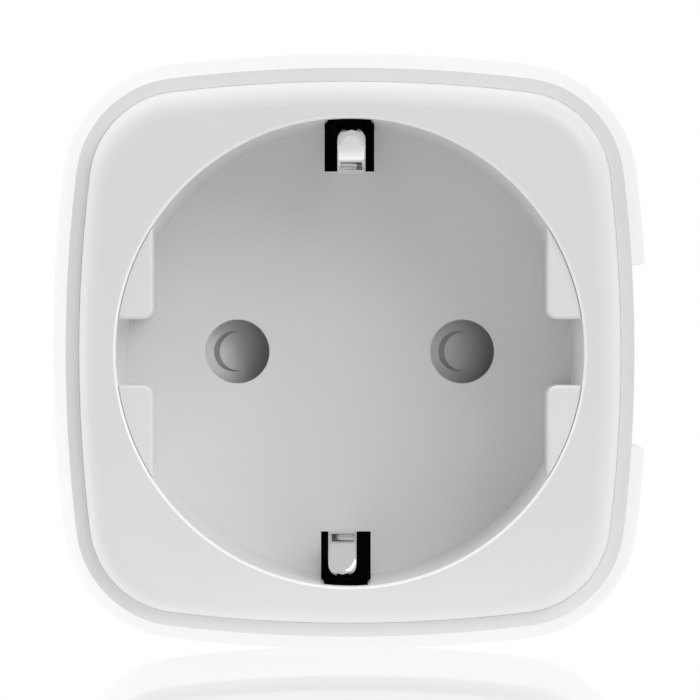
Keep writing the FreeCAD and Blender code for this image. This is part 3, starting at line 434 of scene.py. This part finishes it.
# ---------------------------------------------------------------- earth clips
# Each is a strip of nickel-plated spring steel: a rolled root in the black base, a long leg, a knee
# that touches the plug's side and a flat face leaning outwards, whose round tip is folded back.
clip_nickel = metal("clip_nickel", (0.86, 0.86, 0.86), (0.90, 0.90, 0.895), 0.07,
                    (1, 0.06, 0.06), 0.0000002)
CLIP_HALF = 1.18 * MM
CLIP_THICK = 0.42 * MM
CLIP_EDGE = 0.12 * MM
CLIP_ROLL = 0.49 * MM
CLIP_FLAT_STEPS = 12
TIP_FOLD = 0.34 * MM
TIP_FALL = 0.20 * MM
ROOT_INSET, ROOT_DEPTH = 0.7 * MM, 1.06 * MM
LEG_ALONG, LEG_DROP = 4.9 * MM, 0.3 * MM
TIP_INSET, TIP_DEPTH = 1.15 * MM, 0.24 * MM
FINE_STEP, COARSE_STEP, FINE_LENGTH = 0.1 * MM, 0.3 * MM, 4.4 * MM
# Corners of the leg in millimetres as (behind the tip's end, out from the knee), before smoothing.
LEG_CORNERS = ((9.1, 0.38), (7.2, 0.0), (4.5, 0.0), (3.2, 0.78))


def finished(name, mesh, material, body, replaces=()):
    """A smooth-shaded piece from a bmesh, painted, named and riding on its body."""
    data = bpy.data.meshes.new(name)
    mesh.to_mesh(data)
    mesh.free()
    data.shade_smooth()
    data.materials.append(material)
    piece = bpy.data.objects.new(name, data)
    bpy.context.scene.collection.objects.link(piece)
    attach(piece, body)
    if replaces:
        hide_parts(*replaces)
    return piece


def smooth_path(points, rounds=4):
    """The same route with its corners cut until it is smooth; both ends stay."""
    for _ in range(rounds):
        cut = [points[0]]
        for a, b in zip(points, points[1:]):
            cut += [a.lerp(b, 0.25), a.lerp(b, 0.75)]
        points = cut + [points[-1]]
    return points


def step_between(value, start, end):
    """0 before start, 1 after end, with an easy rise between them."""
    share = min(max((value - start) / (end - start), 0.0), 1.0)
    return share * share * (3 - 2 * share)


def strip_section(half):
    """The strip's rounded rectangle as (across, towards the plug) pairs, finely cut along its flats."""
    edge = min(CLIP_EDGE, half * 0.9)
    points = []
    for turn, sx, sd in ((90, 1, 1), (0, 1, -1), (-90, -1, -1), (-180, -1, 1)):
        for a in range(turn, turn - 91, -30):
            points.append((sx * (half - edge) + edge * math.cos(math.radians(a)),
                           sd * (CLIP_THICK / 2 - edge) + edge * math.sin(math.radians(a))))
    full = []
    for i, (x, lift) in enumerate(points):
        full.append((x, lift))
        if i in (7, 15):
            x_next = points[(i + 1) % len(points)][0]
            full += [(x + (x_next - x) * t / CLIP_FLAT_STEPS, lift) for t in range(1, CLIP_FLAT_STEPS)]
    return full


def earth_clip(name, node, body, side):
    low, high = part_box(node)
    middle = (low.x + high.x) / 2
    root_y, root_z = high.y - ROOT_INSET, (high.z if side > 0 else -low.z) - ROOT_DEPTH
    turns = [math.radians(a) for a in range(-165, 95, 15)]
    curl = [Vector((root_y + CLIP_ROLL * math.cos(a), root_z + CLIP_ROLL * math.sin(a))) for a in turns]
    knee_z = (low.z if side > 0 else -high.z) + CLIP_THICK / 2
    far_z = (high.z if side > 0 else -low.z) - TIP_DEPTH
    leg = [Vector((root_y - LEG_ALONG, root_z - LEG_DROP))]
    leg += [Vector((low.y + behind * MM, knee_z + out * MM)) for behind, out in LEG_CORNERS]
    tip = Vector((low.y + TIP_INSET, far_z))
    route = curl[:-1] + smooth_path([curl[-1]] + leg + [tip])
    lengths = [0.0]
    for a, b in zip(route, route[1:]):
        lengths.append(lengths[-1] + (b - a).length)
    total = lengths[-1]

    def at(s):
        for i in range(1, len(route)):
            if s <= lengths[i] or i == len(route) - 1:
                return route[i - 1].lerp(route[i], (s - lengths[i - 1]) / (lengths[i] - lengths[i - 1]))

    remaining = [CLIP_HALF * (1 - math.cos(math.radians(a))) for a in range(0, 90, 9)]
    while remaining[-1] < total:
        remaining.append(remaining[-1] + (FINE_STEP if remaining[-1] < FINE_LENGTH else COARSE_STEP))
    remaining[-1] = total
    mesh = bmesh.new()
    rings = []
    for left in reversed(remaining):
        point = at(total - left)
        ahead, behind = at(min(total - left + 0.08 * MM, total)), at(max(total - left - 0.08 * MM, 0.0))
        along = (ahead - behind).normalized()
        out = Vector((along.y, -along.x))
        round_off = max(CLIP_HALF - left, 0.0) / CLIP_HALF
        half = CLIP_HALF * math.sqrt(max(1 - round_off ** 2, 0.002))
        at_tip = 1 - step_between(left, 0.5 * CLIP_HALF, 1.3 * CLIP_HALF)
        ring = []
        for x, lift in strip_section(half):
            edge = CLIP_HALF - math.hypot(x, max(CLIP_HALF - left, 0.0))
            lift -= TIP_FALL * at_tip * max(1 - edge / TIP_FOLD, 0.0) ** 2
            spot = point - out * lift
            ring.append(mesh.verts.new((middle + x, spot.x, side * spot.y)))
        rings.append(ring)
    for a, b in zip(rings, rings[1:]):
        for j in range(len(a)):
            nxt = (j + 1) % len(a)
            mesh.faces.new((a[j], a[nxt], b[nxt], b[j]))
    mesh.faces.new(rings[0])
    mesh.faces.new(rings[-1])
    bmesh.ops.recalc_face_normals(mesh, faces=mesh.faces)
    return finished(name, mesh, clip_nickel, body, [node])


earth_clip("upper_earth_clip", "earth_clip_top", "top_clip", 1)
earth_clip("lower_earth_clip", "earth_clip_bottom", "bottom_clip", -1)


# ---------------------------------------------------------------- plug pins and earth strips
# Turned brass pins with domed tips, nickel plated, with faint rings from turning. The side strips are
# stamped spring steel, hooked into the end of the barrel.
pin_nickel = metal("pin_nickel", (0.72, 0.71, 0.68), (0.84, 0.83, 0.80), 0.16, (0.08, 1, 0.08))
give(pin_nickel, "line_plug_pin", "neutral_plug_pin", "relay_terminals")
strip_nickel = metal("strip_nickel", (0.80, 0.80, 0.79), (0.90, 0.90, 0.89), 0.18, (1, 0.05, 1))
give(strip_nickel, "earth_strip_top", "earth_strip_bottom")


# ---------------------------------------------------------------- brass current parts
# Split sleeves for the guest plug's pins, the earth sleeve and strap, and the relay's contact blades:
# stamped brass strip with rolling marks and the warm stains of handling.
stamped_brass = metal("stamped_brass", (0.62, 0.42, 0.17), (0.80, 0.60, 0.30), 0.26, (1, 0.08, 1))
give(stamped_brass, "line_socket_contact", "neutral_socket_contact", "earth_pin_sleeve",
     "relay_contact_arm", "relay_fixed_contact")
# The earth strap is brass made almost black.
near_black_brass = metal("near_black_brass", (0.02, 0.017, 0.012), (0.04, 0.034, 0.024), 0.6)
give(near_black_brass, "earth_strap")


# ---------------------------------------------------------------- housing screws
# Four zinc-plated self-tapping screws in the wall-side recesses. The thread is a rolled ridge wound
# round each shank, and the head keeps its cross recess.
zinc = metal("zinc", (0.50, 0.51, 0.54), (0.70, 0.71, 0.73), 0.26, (1, 0.3, 1))
give(zinc, "housing_screws")
low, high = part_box("housing_screws")
SCREW_HEAD = 2.1 * MM
THREAD_START = low.y + 1.9 * MM
screw_x, screw_z = high.x - SCREW_HEAD, high.z - SCREW_HEAD
corners = [(sx, sz) for sx in (-1, 1) for sz in (-1, 1)]
thread_places = [(sx * screw_x, THREAD_START, sz * screw_z) for sx, sz in corners]
grown("screw_threads", wound_wire, thread_places, zinc, "screw_steel", length=9.6 * MM, radius=1.26 * MM,
      wire=0.15 * MM, turns=10.0, sides=6, turn=(-math.pi / 2, 0, 0))


# ---------------------------------------------------------------- power button and its switch
# The key is moulded in smoother white than the shell. Behind it sits a tactile switch: a black nylon
# base, a grey plunger and a cover plate held by four hot-staked studs.
white_key = moulded("white_key", (0.84, 0.84, 0.84), (0.87, 0.87, 0.87), 0.24, 7500, 0.0000012)
give(white_key, "power_button")
nylon_black = moulded("nylon_black", (0.012, 0.012, 0.013), (0.022, 0.022, 0.023), 0.5)
give(nylon_black, "tact_switch")
nylon_grey = moulded("nylon_grey", (0.30, 0.30, 0.31), (0.36, 0.36, 0.37), 0.4)
give(nylon_grey, "switch_plunger")


def millimetres(rows):
    """The same rows of numbers, read as millimetres."""
    return [tuple(value * MM for value in row) for row in rows]


def turned(mesh, profile, sides):
    """A closed solid of revolution round Y from (radius, height) pairs; both ends may sit on the axis."""
    rings = []
    for radius, height in profile:
        if radius == 0:
            rings.append([mesh.verts.new((0, height, 0))])
            continue
        angles = [2 * math.pi * i / sides for i in range(sides)]
        rings.append([mesh.verts.new((radius * math.cos(a), height, radius * math.sin(a))) for a in angles])
    for a, b in zip(rings, rings[1:]):
        for i in range(sides):
            j = (i + 1) % sides
            corner = [a[i % len(a)], a[j % len(a)], b[j % len(b)], b[i % len(b)]]
            mesh.faces.new(list(dict.fromkeys(corner)))
    for ring in (rings[0], rings[-1]):
        if len(ring) > 1:
            mesh.faces.new(ring)


def block(mesh, low, high, bevel):
    """A bevelled block between two corners."""
    middle = [(a + b) / 2 for a, b in zip(low, high)]
    size = [b - a for a, b in zip(low, high)]
    place = Matrix.Translation(middle) @ Matrix.Diagonal((*size, 1))
    made = bmesh.ops.create_cube(mesh, size=1.0, matrix=place)
    edges = {edge for vert in made["verts"] for edge in vert.link_edges}
    bmesh.ops.bevel(mesh, geom=list(edges), offset=bevel, segments=2, profile=0.5, affect="EDGES")


part_at_points, given = new_tree("part_at_points", [
    ("Part", "Object", None), ("Turn", "Vector", (0, 0, 0))])
info = part_at_points.new("GeometryNodeObjectInfo")
part_at_points.join(given["Part"], info.inputs["Object"])
place_copies(part_at_points, given, info.outputs["Geometry"])


def copies(name, mesh, places, finish, slot, turn=(0, 0, 0), body="casing", replaces=()):
    """The same small part at every place."""
    bmesh.ops.recalc_face_normals(mesh, faces=mesh.faces)
    data = bpy.data.meshes.new(name + "_part")
    mesh.to_mesh(data)
    mesh.free()
    part = bpy.data.objects.new(name + "_part", data)
    bpy.context.scene.collection.objects.link(part)
    grown(name, part_at_points, places, finish, slot, body, replaces, part=part, turn=turn)
    bpy.data.objects.remove(part)


low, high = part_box("tact_switch")
STUD_OFFSET = 1.55 * MM
STUD_PROFILE = millimetres([(0, -0.25), (0.30, -0.25), (0.30, 0.0), (0.26, 0.06), (0.14, 0.1), (0, 0.11)])
stud = bmesh.new()
turned(stud, STUD_PROFILE, 16)
middle_y = (low.y + high.y) / 2
stud_places = [(high.x, middle_y + a * STUD_OFFSET, b * STUD_OFFSET) for a, b in corners]
copies("switch_studs", stud, stud_places, nylon_black, "switch_body", turn=(0, 0, -math.pi / 2))


# ---------------------------------------------------------------- light guide and status light
# A clear polycarbonate rod carries the light of a small milky-lensed diode to the side of the body. The
# rod is moulded and polished, and the diode is soldered to the control board.
clear_plastic, graph, shader, where = principled("clear_plastic", (0.95, 0.96, 0.96), 0.06)
shader.inputs["Transmission Weight"].default_value = 1.0
shader.inputs["IOR"].default_value = 1.58
emboss(graph, noise(graph, where, 900), shader, 0.0000008)
give(clear_plastic, "light_guide")
milky_lens, graph, shader, where = principled("milky_lens", (0.86, 0.87, 0.80), 0.2)
shader.inputs["Transmission Weight"].default_value = 0.45
tint(graph, noise(graph, where, 1500), shader, (0.80, 0.82, 0.74), (0.90, 0.91, 0.86))
give(milky_lens, "status_led")


# ---------------------------------------------------------------- circuit boards
# Glass-fibre laminate under green solder mask, with the pale weave showing faintly. Tracks are etched
# copper just under the mask, drawn here as low ribs with mitred bends.
def laminate(name, low, high):
    material, graph, shader, where = principled(name, high, 0.35)
    weave = graph.new("ShaderNodeTexBrick")
    weave.inputs["Scale"].default_value = 900
    weave.inputs["Mortar Size"].default_value = 0.03
    for label, colour in (("Color1", high), ("Color2", low), ("Mortar", low)):
        weave.inputs[label].default_value = (*colour, 1)
    graph.join(where, weave.inputs["Vector"])
    graph.join(weave.outputs["Color"], shader.inputs["Base Color"])
    vary_roughness(graph, noise(graph, where, 400), shader, 0.28, 0.42)
    emboss(graph, weave.outputs["Fac"], shader, 0.000004, 0.3)
    return material


board_green = laminate("board_green", (0.010, 0.085, 0.035), (0.014, 0.110, 0.045))
board_dark = laminate("board_dark", (0.006, 0.022, 0.060), (0.009, 0.030, 0.080))
give(board_green, "main_board", "control_board")
give(board_dark, "radio_board")
masked_copper, graph, shader, where = principled("masked_copper", (0.03, 0.19, 0.07), 0.3)
tint(graph, noise(graph, where, 500), shader, (0.022, 0.16, 0.055), (0.035, 0.21, 0.08))
solder, graph, shader, where = principled("solder", (0.72, 0.73, 0.75), 0.22, metallic=1.0)
tint(graph, noise(graph, where, 2500), shader, (0.62, 0.63, 0.65), (0.78, 0.79, 0.81))
vary_roughness(graph, noise(graph, where, 1800), shader, 0.15, 0.34)

board_low, board_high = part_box("main_board")
board_front, board_rear = board_low.y, board_high.y
TRACK_HALF, TRACK_RISE = 0.45 * MM, 0.05 * MM


def track(mesh, corner_places):
    """A low rib through those (x, z) corners on the front of the main board."""
    left, right = [], []
    points = [Vector(place) for place in corner_places]
    for i, point in enumerate(points):
        before = (point - points[i - 1]).normalized() if i else (points[1] - point).normalized()
        after = (points[i + 1] - point).normalized() if i + 1 < len(points) else before
        side = Vector((-(before + after).y, (before + after).x)).normalized()
        side *= TRACK_HALF / max(side.dot(Vector((-before.y, before.x))), 0.3)
        left.append(point + side)
        right.append(point - side)
    base, top = board_front + 0.02 * MM, board_front - TRACK_RISE
    rows = [[mesh.verts.new((p.x, y, p.y)) for p in line]
            for line, y in ((left, base), (left, top), (right, top), (right, base))]
    for a, b in zip(rows, rows[1:] + rows[:1]):
        for i in range(len(points) - 1):
            mesh.faces.new((a[i], a[i + 1], b[i + 1], b[i]))
    mesh.faces.new([row[0] for row in rows])
    mesh.faces.new([row[-1] for row in rows])


# Track routes as (x, z) corners in millimetres, from one component lead to the next.
TRACK_ROUTES = (
    ((-12.0, 8.4), (-14.0, 6.4), (-14.0, -4.6)),
    ((-4.0, 8.4), (-2.6, 7.0), (3.2, 7.0), (5.6, 9.4)),
    ((-8.9, -9.9), (-11.4, -7.4), (-13.4, -7.4)),
    ((-1.3, -9.9), (-1.3, -5.6), (-4.6, -4.2)),
    ((1.3, -9.9), (1.3, -14.6), (6.5, -14.6), (9.6, -13.9)),
    ((12.6, -6.2), (14.6, -4.2), (14.6, 6.4)),
    ((-6.2, 14.8), (-3.4, 17.6), (3.4, 17.6)),
    ((9.6, 13.4), (12.6, 15.2), (15.2, 12.6)),
    ((-15.6, -11.4), (-12.4, -14.6), (-3.4, -14.6)),
    ((5.4, -6.4), (3.0, -4.0), (-3.0, -4.0)))
tracks = bmesh.new()
for route in TRACK_ROUTES:
    track(tracks, millimetres(route))
bmesh.ops.recalc_face_normals(tracks, faces=tracks.faces)
finished("board_tracks", tracks, masked_copper, "casing").data.shade_flat()

# A solder joint is a small volcano round each lead on the wall side of the main board.
JOINT_PROFILE = millimetres([(0, -0.02), (0.95, -0.02), (0.92, 0.04), (0.68, 0.14), (0.48, 0.3),
                             (0.36, 0.46), (0, 0.5)])
LEADS = millimetres([(-8.85, -9.9), (-6.35, -9.9), (6.5, -10.2), (9.5, -10.2), (7.7, 7.7), (7.7, 11.5),
                     (-12.0, 8.4), (-4.0, 8.4)])
joint = bmesh.new()
turned(joint, JOINT_PROFILE, 20)
copies("solder_joints", joint, [(x, board_rear, z) for x, z in LEADS], solder, "copper_track")


# ---------------------------------------------------------------- small board parts
# Ceramic chip resistors with tinned end caps, reflow-soldered on the control board and the main board.
# They stand in rows, as a placement machine sets them.
chip_black = moulded("chip_black", (0.012, 0.012, 0.013), (0.024, 0.024, 0.026), 0.45, 9000, 0.000003)
RESISTOR = millimetres([(-0.42, -0.36, -0.30), (0.42, -0.04, 0.30)])
LEFT_CAP = millimetres([(-0.56, -0.39, -0.33), (-0.36, 0.01, 0.33)])
RIGHT_CAP = millimetres([(0.36, -0.39, -0.33), (0.56, 0.01, 0.33)])
RESISTOR_BEVEL, CAP_BEVEL = 0.03 * MM, 0.05 * MM
control_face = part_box("control_board")[0].x
control_rows = [(y, z) for y in (0.0, 1.9, 3.8, 5.7) for z in (0.0, 2.1, 4.2, 8.4, 10.5, 12.6, 16.8)]
on_control = [(control_face, (y - 13.6) * MM, (z - 8.4) * MM) for y, z in control_rows if (y + z) % 4 > 0.9]
on_main = [(side * x * MM, board_front, z * MM)
           for side in (1, -1) for x in (13.6, 15.5) for z in (-3.6, -1.5, 0.6, 2.7)]
for board, places, turn in (("control", on_control, (0, 0, -math.pi / 2)),
                            ("main", on_main, (0, math.pi / 2, 0))):
    ceramic, caps = bmesh.new(), bmesh.new()
    block(ceramic, *RESISTOR, RESISTOR_BEVEL)
    block(caps, *LEFT_CAP, CAP_BEVEL)
    block(caps, *RIGHT_CAP, CAP_BEVEL)
    copies(board + "_board_resistors", ceramic, places, chip_black, "chip_body", turn)
    copies(board + "_board_resistor_caps", caps, places, solder, "copper_track", turn)


# ---------------------------------------------------------------- board chips
# Moulded black epoxy packages with gull-wing legs of tinned copper along two sides. The legs are formed
# in a press and soldered flat to the front of the main board.
give(chip_black, "board_chips")
LEG_HALF, LEG_THICK, LEG_LIFT = 0.2 * MM, 0.16 * MM, 0.1 * MM
LEG_ROOT, LEG_SHOULDER, LEG_FOOT, LEG_REACH = 0.15 * MM, 0.25 * MM, 0.45 * MM, 0.85 * MM


def gull_leg(height):
    """A formed leg that leaves the package at mid height and lands flat on the board."""
    y = height / 2
    middle = [(-LEG_ROOT, -y), (LEG_SHOULDER, -y), (LEG_FOOT, -LEG_LIFT), (LEG_REACH, -LEG_LIFT)]
    mesh = bmesh.new()
    edges = [(t * LEG_THICK / 2, z * LEG_HALF) for t, z in ((-1, -1), (1, -1), (1, 1), (-1, 1))]
    rows = [[mesh.verts.new((x, y - t, z)) for x, y in middle] for t, z in edges]
    for a, b in zip(rows, rows[1:] + rows[:1]):
        for i in range(len(middle) - 1):
            mesh.faces.new((a[i], a[i + 1], b[i + 1], b[i]))
    mesh.faces.new([row[0] for row in rows])
    mesh.faces.new([row[-1] for row in rows])
    return mesh


# Each package: name, x range, z range, height, all in millimetres, and the number of legs a side.
PACKAGES = (
    ("supply", 12.6, 16.6, -11.6, -6.8, 2.4, 4),
    ("meter", 10.6, 14.6, 6.6, 11.4, 1.5, 5),
    ("driver", -9.6, -4.8, 11.0, 14.4, 1.5, 4),
    ("regulator", -15.0, -11.8, -11.0, -7.0, 1.2, 3))
for package, x_left, x_right, z_low, z_high, height, count in PACKAGES:
    pitch = (z_high - z_low) / count
    rows = [(z_low + pitch * (i + 0.5)) * MM for i in range(count)]
    for side, x, turn in (("right", x_right, (0, 0, 0)), ("left", x_left, (0, math.pi, 0))):
        leg_places = [(x * MM, board_front, z) for z in rows]
        copies(package + "_legs_" + side, gull_leg(height * MM), leg_places, solder, "copper_track", turn)


# ---------------------------------------------------------------- supply capacitors
# Deep-drawn aluminium cans with a rolled neck over the rubber seal and a scored vent on top. Each has a
# dark plastic sleeve, shrunk on with heat.
sleeve_blue = moulded("sleeve_blue", (0.012, 0.016, 0.045), (0.020, 0.026, 0.070), 0.28, 3000)
low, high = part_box("capacitors")
CAN_RADIUS = 3.15 * MM
CAN_LENGTH = high.y - low.y
VENT_DISC = 2.38 * MM
VENT_ARM = millimetres([(-1.75, 0.03, -0.10), (1.75, 0.1, 0.10)])
VENT_ARM_BEVEL = 0.01 * MM


def inward(steps):
    """Profile points given in millimetres as (inwards from the can's side, up from its top)."""
    return [(CAN_RADIUS - inset, height) for inset, height in millimetres(steps)]


seal_end = [(radius, CAN_LENGTH + height) for radius, height in inward(
    [(0.45, 0), (0.12, -0.2), (0, -0.5), (0, -1.0), (0.25, -1.3), (0.25, -1.5), (0, -1.8)])]
vent_end = inward([(0, 0.45), (0.12, 0.12), (0.4, 0.02), (0.7, 0.04), (0.75, 0.12)])
can = bmesh.new()
turned(can, [(0, CAN_LENGTH)] + seal_end + vent_end + [(0, vent_end[-1][1])], 48)
can_places = [(x, low.y, (low.z + high.z) / 2) for x in (low.x + CAN_RADIUS, high.x - CAN_RADIUS)]
copies("capacitor_cans", can, can_places, sleeve_blue, "capacitor_sleeve", replaces=["capacitors"])
aluminium = metal("aluminium", (0.72, 0.73, 0.74), (0.82, 0.83, 0.84), 0.24)
vent = bmesh.new()
turned(vent, [(0, 0.16 * MM), (VENT_DISC, 0.16 * MM), (VENT_DISC, 0.08 * MM),
              (VENT_DISC - 0.06 * MM, 0.05 * MM), (0, 0.05 * MM)], 48)
for i in range(3):
    before = set(vent.verts)
    block(vent, *VENT_ARM, VENT_ARM_BEVEL)
    arm = [vert for vert in vent.verts if vert not in before]
    bmesh.ops.transform(vent, matrix=Matrix.Rotation(i * math.pi / 3, 4, "Y"), verts=arm)
copies("capacitor_vents", vent, can_places, aluminium, "tin_shield")


# ---------------------------------------------------------------- choke
# Enamelled copper wound in layers between the flanges of a sintered ferrite drum. It smooths the
# current that charges the supply capacitors.
ferrite = moulded("ferrite", (0.020, 0.020, 0.022), (0.042, 0.042, 0.045), 0.6, 2500, 0.00001)
give(ferrite, "choke_core")
enamel = metal("enamel", (0.48, 0.17, 0.06), (0.66, 0.27, 0.11), 0.25)
low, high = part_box("choke_winding")
CHOKE_WIRE = 0.17 * MM
CHOKE_CORE = 1.6 * MM
choke_start = ((low.x + high.x) / 2, low.y + CHOKE_WIRE, (low.z + high.z) / 2)
grown("choke_wire", wound_wire, [choke_start], enamel, "copper_wire", replaces=["choke_winding"],
      length=high.y - low.y - 2 * CHOKE_WIRE, radius=CHOKE_CORE + CHOKE_WIRE + 0.02 * MM, wire=CHOKE_WIRE,
      turns=13.0, layers=3.9, sides=6, turn=(-math.pi / 2, 0, 0))


# ---------------------------------------------------------------- surge disc and fusible resistor
# A dipped blue epoxy disc and a green-coated resistor with colour bands, both on tinned copper leads
# that are soldered into the main board.
def zoned(name, axis, zones, roughness):
    """Bands along an axis, each given as (where it starts in metres, colour, 1 for bare metal or 0)."""
    material, graph, shader, where = principled(name, zones[0][1], roughness)
    axes = graph.new("ShaderNodeSeparateXYZ")
    graph.join(where, axes.inputs[0])
    first, last = zones[0][0], zones[-1][0] + 0.01
    span = graph.new("ShaderNodeMapRange")
    span.inputs["From Min"].default_value = first
    span.inputs["From Max"].default_value = last
    graph.join(axes.outputs[axis], span.inputs["Value"])
    looks = {"Base Color": [(*colour, 1) for _, colour, _ in zones],
             "Metallic": [(metallic, metallic, metallic, 1) for _, _, metallic in zones]}
    for label, colours in looks.items():
        ramp = graph.new("ShaderNodeValToRGB")
        ramp.color_ramp.interpolation = "CONSTANT"
        for i, zone in enumerate(zones):
            elements = ramp.color_ramp.elements
            element = elements[i] if i < 2 else elements.new(1.0)
            element.position = (zone[0] - first) / (last - first)
            element.color = colours[i]
        graph.join(span.outputs[0], ramp.inputs[0])
        graph.join(ramp.outputs[0], shader.inputs[label])
    emboss(graph, noise(graph, where, 700), shader, 0.00001)
    return material


tinned = (0.70, 0.70, 0.72)
low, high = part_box("varistor")
zones = [(low.y - 1 * MM, (0.02, 0.07, 0.26), 0.0), (high.y - 1.3 * MM, tinned, 1.0)]
disc_blue = zoned("disc_blue", "Y", zones, 0.3)
give(disc_blue, "varistor")
low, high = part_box("fuse_resistor")
coat, band = (0.10, 0.22, 0.12), ((0.30, 0.012, 0.010), (0.008, 0.008, 0.008), (0.42, 0.30, 0.02))
zones = [(low.x - 0.001, tinned, 1.0), (low.x + 1.25 * MM, coat, 0.0)]
for i in range(3):
    zones += [(low.x + (2.6 + 1.3 * i) * MM, band[i], 0.0), (low.x + (3.2 + 1.3 * i) * MM, coat, 0.0)]
resistor_green = zoned("resistor_green", "X", zones + [(high.x - 1.25 * MM, tinned, 1.0)], 0.35)
give(resistor_green, "fuse_resistor")


# ---------------------------------------------------------------- relay
# A power relay: blue polyester cover and base, pale bobbin with a fine copper coil, and a zinc-plated
# iron yoke and armature. Only the outer layers of the coil are wound; they hide the rest.
relay_blue = moulded("relay_blue", (0.008, 0.060, 0.220), (0.012, 0.080, 0.280), 0.32, 4200)
give(relay_blue, "relay_cover")
relay_black = moulded("relay_black", (0.014, 0.014, 0.016), (0.026, 0.026, 0.028), 0.45, 4200)
give(relay_black, "relay_base")
bobbin_cream = moulded("bobbin_cream", (0.60, 0.56, 0.46), (0.68, 0.64, 0.54), 0.4, 4200)
give(bobbin_cream, "relay_bobbin")
plated_iron = metal("plated_iron", (0.50, 0.50, 0.51), (0.66, 0.66, 0.67), 0.34, (1, 1, 0.1))
give(plated_iron, "relay_yoke", "relay_armature")
low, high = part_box("relay_winding")
COIL_WIRE = 0.075 * MM
COIL_LAYERS = 3
inner = (high.x - low.x) / 2 - COIL_WIRE * (LAYER_STEP * COIL_LAYERS + 1)
coil_start = ((low.x + high.x) / 2, low.y + COIL_WIRE, (low.z + high.z) / 2)
grown("relay_coil", wound_wire, [coil_start], enamel, "copper_wire", replaces=["relay_winding"],
      length=high.y - low.y - 2 * COIL_WIRE, radius=inner, wire=COIL_WIRE, turns=46.0,
      layers=float(COIL_LAYERS), sides=5, turn=(-math.pi / 2, 0, 0))


# ---------------------------------------------------------------- radio
# A tinned steel can with round dimples covers the radio chip and is soldered round its foot. The aerial
# is a folded gold-flashed track.
radio_tin, graph, shader, where = principled("radio_tin", (0.70, 0.70, 0.71), 0.3, metallic=1.0)
tint(graph, noise(graph, where, 300, 4), shader, (0.60, 0.60, 0.61), (0.76, 0.76, 0.77))
cells = graph.new("ShaderNodeTexVoronoi")
cells.inputs["Scale"].default_value = 480
cells.inputs["Randomness"].default_value = 0.0
graph.join(where, cells.inputs["Vector"])
dimple = graph.new("ShaderNodeMapRange")
for label, value in (("From Min", 0.22), ("From Max", 0.30), ("To Min", 0.0), ("To Max", 1.0)):
    dimple.inputs[label].default_value = value
graph.join(cells.outputs["Distance"], dimple.inputs["Value"])
emboss(graph, dimple.outputs[0], shader, 0.00008)
give(radio_tin, "radio_shield")
gold_track = metal("gold_track", (0.75, 0.52, 0.22), (0.86, 0.64, 0.32), 0.3)
give(gold_track, "radio_antenna")
